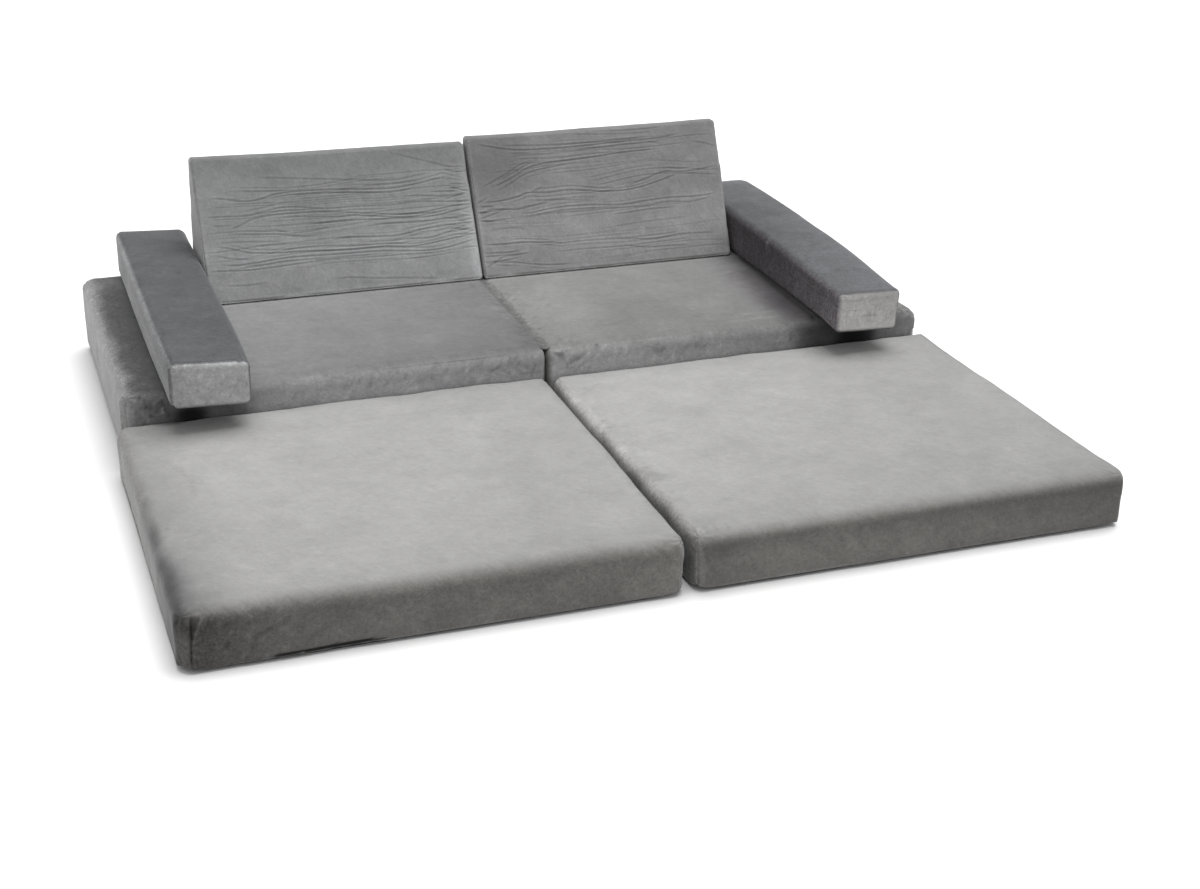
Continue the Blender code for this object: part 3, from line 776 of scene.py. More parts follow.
def right_mat_nap_and_shading(form):
    """The right mat's nap and creases, with painted light along its inner side, which the gap between the
    mats shades, and painted light and shadow where the right arm's end overhangs it.
    """
    paint(
        form, (0.95, warm), (0.9, cool), (0.90, warmer), (0.8, neutral), (0.7, neutral),
        (0.98, neutral),
    )
    # Painted light on the inner side, which the gap between the mats shades, more towards the rear
    ramp(
        form, left_side, to_rear, (0, 0.62), (0.08, 0.75), (0.15, 1.0), (0.25, 1.12), (0.37, 1.38),
        (0.5, 1.62), (0.7, 1.8), (0.9, 1.65), (1, 1.5), power=1.8,
    )
    ramp(
        form, front, to_right, (0, 0.58), (0.1, 0.60), (0.3, 0.60), (0.55, 0.50), (0.85, 0.47),
        (1, 0.42),
    )
    ramp(form, front, upward, (0, 1.10), (0.5, 1.04), (0.8, 0.82), (1, 0.92))
    ramp(
        form, top, to_right, (0, 0.98), (0.08, 1.03), (0.4, 1.0), (0.75, 0.93), (0.93, 0.93), (1, 0.88),
    )
    ramp(form, top, to_rear, (0, 0.86), (0.12, 0.92), (0.5, 1.0), (0.8, 1.03), (1, 1.02))
    patch(form, top, (0.24, 0.64), (0.035, 0.04), -0.10, 0)
    # Painted light where the right arm's end casts its shadow on the top, and a painted shadow on the rear
    # edge under that end
    patch(form, top, (0.80, 0.93), (0.13, 0.05), 0.16, 7)
    patch(form, top, (0.795, 1.0), (0.042, 0.017), -0.80, 8, 4.0)
    patch(form, top, (0.90, 0.05), (0.16, 0.08), -0.08, 9)
    patch(form, top, (0.80, 0.60), (0.10, 0.12), -0.07, 10)
    patch(form, front, (0.68, 0.18), (0.26, 0.20), 0.14, 11)
    patch(form, front, (0.05, 0.2), (0.05, 0.2), -0.12, 12)
    ruffle(form, top, (0.0, 0.02), (0.05, 0.95), 60, 0.020, 0.6, 0.08, 0.0045, 3)
    ruffle(form, front, (0.0, 0.05), (0.97, 0.9), 80, 0.026, -1.2, 0.06, 0.0030, 1)
    patch(form, top, (0.02, 0.33), (0.03, 0.03), -0.22, 1)
    patch(form, top, (0.04, 0.07), (0.05, 0.04), -0.14, 2)
    patch(form, front, (0.06, 0.70), (0.05, 0.25), -0.20, 3)
    patch(form, front, (0.50, 0.5), (0.16, 0.5), 0.06, 4)
    for spot in (0.08, 0.17, 0.26, 0.37, 0.47, 0.58, 0.71, 0.83):
        gain = -0.32 if spot in (0.17, 0.37, 0.58) else 0.12
        patch(form, left_side, (spot, 0.75), (0.035, 0.3), gain, 0)
    for start, gain in (
        (0.31, -0.10), (0.33, 0.08), (0.355, -0.12), (0.375, 0.07), (0.43, -0.08), (0.45, 0.06),
    ):
        brush(form, front, ((start, 0.8), (start + 0.012, 0.5), (start + 0.035, 0.2)), gain, 0.0035)
    crease(form, top, ((0, 0.82), (0.04, 0.85), (0.07, 0.885), (0.10, 0.92)), 0.0007, 0.004, shade=0.10)
    crease(form, top, ((0.38, 0.81), (0.45, 0.812), (0.52, 0.81)), 0.0005, 0.004, shade=0.06)
    for start in (0.30, 0.335, 0.37, 0.62, 0.66):
        path = ((0.0, start), (0.02, start + 0.008), (0.04, start + 0.005))
        crease(form, top, path, 0.0006, 0.0035, shade=0.16)
    crease(form, front, ((0.01, 0.85), (0.03, 0.45), (0.055, 0.12)), 0.0014, 0.0030, shade=0.15)
    for start in (0.025, 0.045, 0.07):
        path = ((start, 0.0), (start + 0.006, 0.03), (start + 0.004, 0.06))
        crease(form, top, path, 0.0007, 0.0030, shade=0.1)


def mat(side):
    label = f"front_{side}_mat"
    low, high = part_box(label + "_cover")
    left = side == "left"
    outer, inner = outer_and_inner(left)

    def shaped(fine, coarse, zip_height=None, details=()):
        x_radii = (0.026, 0.016) if left else (0.018, 0.012)
        radii = (x_radii, (0.030, 0.018), (0.006, 0.030 if left else 0.024))
        form = box_form(low, high, radii, fine, coarse, zip_height=zip_height, details=details)
        x, y, z = form.share.T
        form.lift += form.facing(top) * 0.005 * (dome(x) * dome(y) - 1)
        ends = smooth(np.minimum(y, 1 - y) / 0.12)
        form.lift -= 0.0024 * ends * form.facing(outer)
        gap_side = form.facing(inner) * smooth(z * 2)
        if left:
            full = (0.0022 + 0.0016 * y) * smooth((y - 0.06) / 0.22) * smooth((1 - y) / 0.04)
            form.lift += (full - 0.0016 * np.exp(-(((y - 0.07) / 0.05) ** 2))) * gap_side
        else:
            form.lift += 0.0020 * ends * gap_side
        form.lift -= 0.0016 * form.facing(front) * smooth(np.minimum(x, 1 - x) / 0.11)
        # The foot curls up at the front corners
        for corner, rise in ((x, 0.0050), (1 - x, 0.0080 if left else 0.0030)):
            curl = smooth(1 - corner / 0.060) * smooth(1 - y / 0.065)
            form.point[:, 2] += rise * curl**1.5 * (1 - z) ** 2
        return form

    corner_lines = (0.0215, 0.033, 0.0445) if left else ()
    steps = ((0.0045, 0.005, 0.0034), (0.0065, 0.0075, 0.0042))
    form = shaped(*steps, zip_height=0.036, details=corner_lines)
    form.seed = 11 if left else 12
    unevenness(form, 0.0014, 0.0006)
    for end in (0, 1):
        # At the left mat's left end, the seam is the crease on the front
        if end == 1 or not left:
            seam(form, (0, end), 0.0008, offset=end, over=0.05, shade=0.08)
        pinch(form, (end, 0, 1), 0.016, 7, 0.0008, 2)
        pinch(form, (end, 0, 0), 0.014, 7, 0.0006, 3)
        pinch(form, (end, 1, 1), 0.012, 7, 0.0006, 4)
    sag = np.exp(-((form.gap(underside) / 0.02) ** 2)) * form.facing(front)
    form.lift += 0.0012 * sag * noise(form.point, (0.09, 1, 1), form.seed + 6)
    tucked_foot_and_shade(form, 0.27 if left else None)
    zip_channel(form, label, right_side, 0.0056)
    hold_back(form, rear)
    if left:
        left_mat_nap_and_shading(form)
        mottled(form, 0.10, 0.08, 0.074, 0.08, 0.05, 0.030)
        form.mottle += 0.5 * np.exp(-((form.share[:, 0] / 0.16) ** 2)) * form.facing(front)
    else:
        right_mat_nap_and_shading(form)
        mottled(form, 0.10, 0.08, 0.064, 0.08, 0.05, 0.030)
    finish_cover(form, label, label)
    finish_foam(shaped(*foam_steps), label, label)


# Rear base blocks
def left_base_nap_and_shading(form):
    """The left block's nap and creases, with painted shade by and under the left arm."""
    paint(form, (0.80, neutral), (0.8, neutral), (1, cool), (0.9, neutral), (0.7, neutral), (1, cool))
    ramp(form, left_side, to_rear, (0, 0.92), (0.1, 1.0), (0.3, 1.15), (1, 1.2))
    # The front is much darker under the arm's overhanging end and the ledge beside it: painted shade
    ramp(
        form, front, to_right, (0, 0.90), (0.03, 0.62), (0.1, 0.44), (0.2, 0.50), (0.27, 0.52),
        (0.31, 1.15), (0.6, 1.28), (1, 1.14),
    )
    ramp(form, front, upward, (0, 1.30), (0.7, 1.22), (0.78, 1.12), (0.86, 0.98), (1, 0.98))
    # The ledge outside the arm and the top under it are darker, partly nap and partly painted shade of the
    # arm
    ramp(
        form, top, to_right, (0, 0.54), (0.020, 0.42), (0.034, 0.28), (0.040, 0.22), (0.06, 0.22),
        (0.105, 0.30), (0.15, 0.52), (0.24, 0.54), (0.285, 0.70), (0.33, 0.73), (0.5, 0.66),
        (0.75, 0.60), (0.9, 0.52), (1, 0.50),
    )
    ramp(form, top, to_rear, (0, 0.80), (0.1, 0.92), (0.35, 0.98), (0.6, 1.06), (1, 1.1))
    patch(form, top, (0.12, 0.96), (0.07, 0.09), 0.32, 0)
    patch(form, top, (0.055, 0.91), (0.035, 0.07), 0.36, 11)
    patch(form, top, (0.018, 0.60), (0.014, 0.12), -0.20, 12)
    patch(form, left_side, (0.30, 0.6), (0.10, 0.2), -0.11, 13)
    patch(form, front, (0.07, 0.86), (0.02, 0.08), -0.14, 14)
    patch(form, top, (0.05, 0.62), (0.03, 0.22), -0.16, 0)
    patch(form, top, (0.55, 0.30), (0.20, 0.12), -0.07, 5)
    patch(form, top, (0.02, 0.10), (0.02, 0.12), 0.25, 1)
    # Painted shadow, nearly black, on the front under the arm's overhanging end
    patch(form, front, (0.153, 0.66), (0.046, 0.17), -0.90, 7, 4.0)
    patch(form, top, (0.985, 0.10), (0.035, 0.13), -0.20, 8)
    ruffle(form, top, (0.0, 0.02), (0.10, 0.98), 110, 0.020, 1.3, 0.20, 0.0028, 0)
    ruffle(form, left_side, (0.0, 0.5), (0.95, 0.95), 60, 0.025, 0.9, 0.09, 0.0045, 1)
    ruffle(form, front, (0.02, 0.60), (0.12, 0.95), 60, 0.016, 1.2, 0.32, 0.0028, 2)
    patch(form, top, (0.55, 0.10), (0.3, 0.10), -0.08, 2)
    patch(form, left_side, (0.12, 0.75), (0.05, 0.3), -0.18, 3)
    for v in (0.235, 0.475):
        path = ((0.006, v - 0.01), (0.04, v + 0.006), (0.105, v + 0.012))
        crease(form, top, path, 0.0004, 0.0022, shade=-0.34)
    for v in (0.05, 0.075, 0.10):
        crease(form, top, ((0.012, v), (0.03, v + 0.012), (0.045, v + 0.03)), 0.0010, 0.0028, shade=0.25)
    for v, tilt in ((0.06, -0.02), (0.10, 0.015), (0.16, -0.015), (0.20, 0.02), (0.25, 0.02)):
        path = ((0.285, v), (0.305, v + tilt * 0.6), (0.33, v + tilt))
        crease(form, top, path, 0.0007, 0.0035, shade=0.12)


def right_base_nap_and_shading(form):
    """The right block's nap and creases, with painted shade by and under the right arm."""
    paint(form, (0.8, neutral), (0.9, cool), (1, cool), (0.9, neutral), (0.7, neutral), (1, neutral))
    # The front is much darker under the arm's overhanging end: painted shade
    ramp(
        form, front, to_right, (0, 1.33), (0.3, 1.20), (0.45, 1.06), (0.52, 0.93), (0.58, 0.95),
        (0.64, 0.76), (0.67, 0.38), (0.70, 0.24), (0.76, 0.19), (0.86, 0.22), (0.885, 0.58),
        (0.91, 0.62), (0.94, 0.62), (0.975, 0.84), (1, 0.8),
    )
    patch(form, front, (0.505, 0.72), (0.05, 0.08), 0.08, 11)
    ramp(form, front, upward, (0, 1.3), (0.7, 1.26), (0.78, 1.16), (0.86, 0.95), (1, 0.92))
    # The seat beside the arm, the top under it and the ledge outside it are darker, partly nap and partly
    # painted shade of the arm
    ramp(
        form, top, to_right, (0, 0.66), (0.12, 0.70), (0.25, 0.63), (0.45, 0.62), (0.59, 0.60),
        (0.635, 0.54), (0.66, 0.43), (0.69, 0.28), (0.72, 0.22), (0.77, 0.50), (0.85, 0.50),
        (0.89, 0.34), (0.93, 0.50), (1, 0.7),
    )
    ramp(form, top, to_rear, (0, 0.84), (0.1, 0.92), (0.35, 0.98), (0.6, 1.05), (1, 1.1))
    # The seat beside the arm is darker, partly nap and partly painted shade, with a painted line of shade
    # along the arm's inner foot
    patch(form, top, (0.66, 0.10), (0.06, 0.18), -0.45, 6)
    patch(form, top, (0.675, 0.20), (0.055, 0.27), -0.34, 12, 2.0, violet)
    brush(form, top, ((0.708, -0.02), (0.714, 0.25), (0.721, 0.45), (0.722, 0.61)), -0.75, 0.0075)
    patch(form, top, (0.08, 0.55), (0.06, 0.08), -0.13, 9)
    patch(form, top, (0.34, 0.13), (0.20, 0.08), -0.08, 5)
    # Painted shadow, nearly black, on the front under the arm's overhanging end
    patch(form, front, (0.817, 0.68), (0.053, 0.17), -0.80, 7, 4.0)
    patch(form, top, (0.17, 0.42), (0.14, 0.18), 0.05, 0)
    ruffle(form, top, (0.60, 0.10), (0.69, 0.60), 26, 0.028, 0.2, 0.10, 0.0045, 0)
    patch(form, top, (0.33, 0.24), (0.10, 0.10), -0.10, 1)
    patch(form, top, (0.46, 0.20), (0.10, 0.05), 0.08, 2)
    for u, v, gain in ((0.40, 0.80, -0.16), (0.55, 0.75, -0.12), (0.30, 0.78, -0.10), (0.66, 0.7, 0.08)):
        patch(form, front, (u, v), (0.03, 0.06), gain, int(100 * u))
    for v in (0.06, 0.10):
        path = ((0.52, v), (0.58, v - 0.012), (0.66, v - 0.006))
        brush(form, top, path, 0.25, 0.0030)
    for tilt in (-0.5, 0.0, 0.5, 1.0):
        path = ((0.014, 0.93 + 0.02 * tilt), (0.03, 0.88 + 0.04 * tilt), (0.05, 0.80 + 0.10 * tilt))
        crease(form, front, path, 0.0011, 0.0026, shade=0.18)


def edge_creases(form, from_inside):
    """Small random creases by the inner edge of the top and the front."""
    rng = np.random.default_rng(form.seed)
    for start in np.linspace(0.04, 0.55, 17):
        run, tilt = rng.uniform(0.012, 0.04), rng.normal(0.010, 0.012)
        v = start + rng.normal(0, 0.006)
        path = ((0.013, v), (0.013 + run * 0.6, v + tilt * 0.7), (0.013 + run, v + tilt))
        crease(form, top, from_inside(path), rng.uniform(0.0004, 0.0010), 0.0028, shade=0.18)
    for _ in range(7):
        u, v = rng.uniform(0.015, 0.10), rng.uniform(0.45, 0.80)
        path = ((u, v), (u + 0.02, v + rng.normal(0.06, 0.06)), (u + 0.045, v + rng.normal(0.1, 0.08)))
        crease(form, front, from_inside(path), rng.uniform(0.0006, 0.0013), 0.0028, shade=0.16)


def base(side):
    label = f"rear_{side}_base"
    left = side == "left"
    outer, inner = outer_and_inner(left)
    low, high = (list(corner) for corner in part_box(label + "_cover"))
    high[2] = seat_top

    def shaped(fine, coarse, zip_height=None):
        x_radii = (0.032, 0.012) if left else (0.012, 0.018)
        radii = (x_radii, (base_front_radius, 0.026), (0.018, 0.025))
        form = box_form(low, high, radii, fine, coarse, zip_height=zip_height)
        x, y, z = form.share.T
        ends = smooth(np.minimum(y, 1 - y) / 0.13)
        form.lift += 0.0030 * (dome(z) - 1) * ends * form.facing(outer)
        form.lift -= 0.0042 * form.facing(rear) * smooth(np.minimum(x, 1 - x) / 0.11)
        shoulder = 4 * form.facing(outer) * form.facing(top)
        form.lift += (0.0015 if left else 0.003) * shoulder * smooth((y - 0.80) / 0.15)
        if not left:
            # The outer front edge is fuller, and the ledge beside the arm lies lower
            form.lift += 0.005 * 4 * form.facing(right_side) * form.facing(front)
            form.point[:, 2] -= 0.005 * smooth((x - 0.89) / 0.06) * smooth(z * 1.5 - 0.5)
        return form

    def from_inside(path):
        """Turns shares counted from the block's inner side into shares from the left."""
        return [(1 - u, v) if left else (u, v) for u, v in path]

    def zone(low_u, high_u, low_v, high_v):
        """The low and high corner of a part of a face, counted from the inner side."""
        (first_u, _), (last_u, _) = from_inside(((low_u, 0), (high_u, 0)))
        return (min(first_u, last_u), low_v), (max(first_u, last_u), high_v)

    form = shaped((0.003, 0.0045, 0.0034), (0.0066, 0.0065, 0.006), zip_height=0.046)
    form.seed = 21 if left else 22
    x, y, z = form.sharp.T
    outward = -x if left else x
    border = np.minimum.reduce([outward - 0.004, arm_inner - outward, y - seat_front, seat_rear - y])
    open_seat = smooth(border / 0.03)
    ledge = smooth((outward - ledge_inner) / 0.02)
    across = np.clip(outward / arm_inner, 0, 1)
    deep = np.clip((y - seat_front) / (seat_rear - seat_front), 0, 1)
    unevenness(form, 0.0010, 0.0003)
    upper = form.facing(top) > 0.5
    form.lift[upper] *= np.maximum(open_seat, ledge)[upper]
    form.lift += 0.004 * form.facing(top) * dome(across) * dome(deep) * (open_seat > 0)
    # Painted light along the foot of the backs, against the shade where they stand on the seat
    painted_light_by_back = np.exp(-(((y - seat_rear) / 0.005) ** 2)) * (outward < arm_inner)
    form.tone *= 1 + 0.2 * painted_light_by_back * form.facing(top)
    seam(form, outer, over=0.05)
    for end in (0, 1):
        pinch(form, (outer[1], end, 1), 0.016, 7, 0.0010, 2)
    tucked_foot_and_shade(form)
    zip_channel(form, label, rear, 0.0054)
    edge_creases(form, from_inside)
    if left:
        left_base_nap_and_shading(form)
    else:
        right_base_nap_and_shading(form)
    ruffle(form, front, *zone(0.0, 0.66, 0.60, 1.0), 190, 0.024, 1.1, 0.13, 0.0028, 4)
    ruffle(form, top, *zone(0.02, 0.68, 0.0, 0.12), 90, 0.020, 1.2, 0.06, 0.0040, 5)
    edge_tilt = 2.3 if left else 0.8
    ruffle(form, top, *zone(0.015, 0.09, 0.0, 0.60), 80, 0.020, edge_tilt, 0.09, 0.0035, 6)
    ruffle(form, top, *zone(0.05, 0.68, 0.05, 0.60), 50, 0.045, 0.4, 0.03, 0.0060, 7)
    # The block stays level where the other block, a mat, an arm or a back touches it
    hold_back(form, inner)
    hold_back(form, front, where=z < mat_contact)
    hold_back(form, top, where=(open_seat <= 0) & (ledge <= 0))
    mottled(form, 0.09, 0.09, 0.064, 0.08, 0.05, 0.045)
    form.mottle = np.where(ledge * form.facing(top) > 0.5, 1.5, form.mottle)
    finish_cover(form, label, "base")
    finish_foam(shaped(*foam_steps), label, "base")


# Arms
def left_arm_nap_and_shading(form):
    """The left arm's nap: a dark top, and a pale front end, with painted shade on the end's upper rim."""
    paint(
        form, (0.80, colder), (0.36, blue), (1.40, cool), (0.6, cool), (0.7, neutral), (0.262, blue),
        power=3.0,
    )
    ramp(
        form, left_side, to_rear, (0, 0.55), (0.1, 0.63), (0.2, 0.77), (0.45, 0.87), (0.7, 0.93),
        (0.9, 1.0), (1, 0.84),
    )
    ramp(form, left_side, upward, (0, 1.28), (0.3, 1.14), (0.7, 0.86), (1, 0.78))
    ramp(form, front, to_right, (0, 0.88), (0.25, 0.96), (0.75, 1.12), (1, 1.12))
    # Painted shade on the end's rounded upper rim, where it turns up to the light
    ramp(form, front, upward, (0, 1.02), (0.78, 0.98), (1, 0.76))
    ramp(form, top, to_rear, (0, 1.17), (0.2, 1.03), (1, 0.96))
    ramp(form, top, to_right, (0, 1.0), (0.4, 0.95), (1, 0.93))
    ruffle(form, left_side, (0.0, 0.05), (0.97, 0.95), 80, 0.026, 0.35, 0.12, 0.0030, 0)
    ruffle(form, front, (0.03, 0.05), (0.95, 0.95), 90, 0.010, 1.3, 0.10, 0.0022, 1)
    ruffle(form, front, (0.05, 0.90), (0.95, 1.0), 30, 0.007, 1.5, 0.25, 0.0020, 2)
    ruffle(form, top, (0.0, 0.02), (0.10, 0.95), 50, 0.018, 1.4, 0.14, 0.0035, 3)
    ruffle(form, top, (0.05, 0.02), (0.95, 0.95), 60, 0.030, 0.9, 0.06, 0.0045, 4)
    patch(form, top, (0.82, 0.84), (0.14, 0.07), -0.18, 0)
    patch(form, top, (0.2, 0.95), (0.5, 0.06), 0.08, 1)
    for v in (0.10, 0.145):
        brush(form, top, ((0.15, v), (0.5, v - 0.01), (0.9, v + 0.015)), 0.10, 0.0035)
    for u in (0.03, 0.09):
        brush(form, left_side, ((0.0, 0.35 + u), (0.3, 0.45 + u), (0.7, 0.4 + u)), 0.12, 0.003)


def right_arm_nap_and_shading(form):
    """The right arm's nap: a dark inner side, and a pale front end with a rim of painted shade where its
    edges round over and catch the light.
    """
    # Painted shade on the rounded rim of the front end
    facing = form.facing(front)
    form.tone *= 1 - 0.28 * smooth((0.97 - facing) / 0.25) * smooth((facing - 0.35) / 0.2)
    paint(
        form, (0.30, violet), (0.55, cool), (1.72, warm), (0.6, cool), (0.4, neutral), (0.335, blue),
        power=3.0,
    )
    ramp(form, left_side, to_rear, (0, 1.75), (0.12, 1.35), (0.3, 0.88), (0.5, 0.70), (1, 0.60))
    ramp(form, top, to_right, (0, 0.92), (0.5, 0.97), (1, 1.08))
    ramp(form, left_side, upward, (0, 1.25), (0.3, 1.18), (0.7, 0.85), (1, 0.76))
    # Painted shade, strongest on the end's upper rim
    ramp(form, front, upward, (0, 1.06), (0.3, 1.07), (0.7, 0.95), (0.86, 0.80), (1, 0.46))
    ramp(form, front, to_right, (0, 1.06), (0.5, 1.02), (0.75, 0.97), (1, 0.94))
    patch(form, top, (0.2, 0.6), (0.25, 0.16), -0.15, 2)
    ramp(form, top, to_rear, (0, 1.0), (0.05, 1.10), (0.3, 1.0), (0.7, 0.88), (0.9, 0.96), (1, 1.25))
    patch(form, top, (0.2, 0.30), (0.25, 0.12), 0.09, 11)
    ruffle(form, left_side, (0.0, 0.05), (0.65, 0.85), 110, 0.018, 1.45, 0.17, 0.0028, 0)
    ruffle(form, front, (0.03, 0.05), (0.95, 0.95), 60, 0.010, 1.5, 0.08, 0.0022, 1)
    ruffle(form, top, (0.0, 0.02), (0.95, 0.95), 80, 0.030, 0.9, 0.08, 0.0045, 4)
    patch(form, left_side, (0.44, 0.86), (0.008, 0.12), 0.9, 1)
    rng = np.random.default_rng(form.seed)
    for _ in range(26):
        u, v, up = rng.uniform(0.02, 0.5), rng.uniform(0.15, 0.85), rng.uniform(0.1, 0.25)
        brush(
            form, left_side, ((u, v - up), (u + rng.normal(0, 0.006), v), (u, v + up)),
            rng.normal(0, 0.12), 0.003,
        )
    for u in (0.09, 0.15, 0.27, 0.33, 0.46, 0.52, 0.60, 0.68, 0.80, 0.90):
        low_v, run = rng.uniform(0.08, 0.5), rng.uniform(0.25, 0.5)
        path = ((u, low_v), (u + rng.normal(0, 0.012), low_v + run / 2), (u, low_v + run))
        brush(form, front, path, rng.uniform(-0.26, -0.14), 0.0016)
    for v in (0.26, 0.40, 0.55, 0.66, 0.80):
        low_u, run = rng.uniform(0.02, 0.45), rng.uniform(0.25, 0.5)
        path = ((low_u, v), (low_u + run / 2, v + rng.normal(0, 0.02)), (low_u + run, v))
        brush(form, front, path, rng.uniform(-0.24, -0.14), 0.0016)


def loose_strokes(form):
    """A few random strokes of turned nap on an arm's top."""
    rng = np.random.default_rng(form.seed + 9)
    for _ in range(8):
        u, v = rng.uniform(0.1, 0.9), rng.uniform(0.05, 0.9)
        run, turn = rng.uniform(0.05, 0.2), rng.uniform(-1, 1)
        path = ((u, v), (u + run * turn * 0.5, v + run * 0.06), (u + run * turn, v + run * 0.1))
        brush(form, top, path, rng.choice([-0.10, 0.12]), 0.004)


def arm(side):
    label = f"{side}_arm"
    left = side == "left"
    outer, inner = outer_and_inner(left)
    low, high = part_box(label + "_cover")

    def shaped(fine, coarse, zip_height=None):
        radii = ((0.014, 0.014), (0.012, 0.034), (0.010, 0.014))
        form = box_form(low, high, radii, fine, coarse, 0.06, zip_height)
        x, y, z = form.share.T
        form.lift += form.facing(top) * 0.0038 * (dome(x) * dome(y) - 0.4)
        form.lift += 0.0028 * dome(y) * form.facing(outer)
        # The end that hangs out over the mats droops, more so on its right
        lower_hang, upper_hang = 0.0050 + 0.0060 * x, 0.0085 * x - 0.0005
        form.point[:, 2] -= smooth((0.105 - y) / 0.09) * lower_hang * (1 - z)
        form.point[:, 2] -= smooth(1 - y / 0.22) * upper_hang * z
        if left:
            form.point[:, 2] += 0.0065 * (1 - x) * smooth(y * 1.2) * z
            # The end's corners are rounder
            upright = form.facing(left_side) + form.facing(right_side)
            corner = 4 * upright * (form.facing(underside) + form.facing(top))
            form.lift -= 0.005 * corner * smooth(1 - y / 0.10)
        else:
            form.point[:, 0] -= 0.012 * smooth((y - 0.93) / 0.07) ** 2 * smooth(x * 1.5 - 0.5)
            form.point[:, 0] -= (0.004 + (0.003 + 0.005 * (1 - z)) * x) * smooth(1 - y / 0.45)
            rise = 0.0055 * smooth(y * 1.3) + 0.0045 * x * smooth(1 - y / 0.2)
            form.point[:, 2] += (rise - 0.0045 * smooth(1 - y / 0.5)) * z
        return form

    form = shaped((0.0022, 0.0045, 0.0022), (0.0028, 0.008, 0.0028), zip_height=0.178)
    form.seed = 31 if left else 32
    unevenness(form, 0.0010, 0.0003)
    for end in (0, 1):
        seam(form, (1, end), depth=0.0013, puff=0.0004, offset=end, over=0.6)
        for other in (0, 1):
            pinch(form, (other, end, 1), 0.010, 6, 0.0006, 2 + other)
    zip_channel(form, label, right_side, 0.0056)
    if left:
        left_arm_nap_and_shading(form)
    else:
        right_arm_nap_and_shading(form)
    loose_strokes(form)
    hold_back(form, inner)
    hold_back(form, underside)
    if left:
        mottled(form, 0.115, 0.08, 0.072, 0.08, 0.05, 0.072)
    else:
        mottled(form, 0.13, 0.08, 0.058, 0.08, 0.05, 0.082)
    finish_cover(form, label, label)
    finish_foam(shaped((0.02, 0.02, 0.02), (0.03, 0.04, 0.03)), label, label)


# Backs: their outline in (y, z), from the front foot, and the size of the leaning face
back_outline = ((seat_rear, 0.1523), (0.6277, 0.1523), (0.5857, 0.4168), (0.5617, 0.4168))
back_face = (0.5645, 0.2993)
back_radius = 0.0065
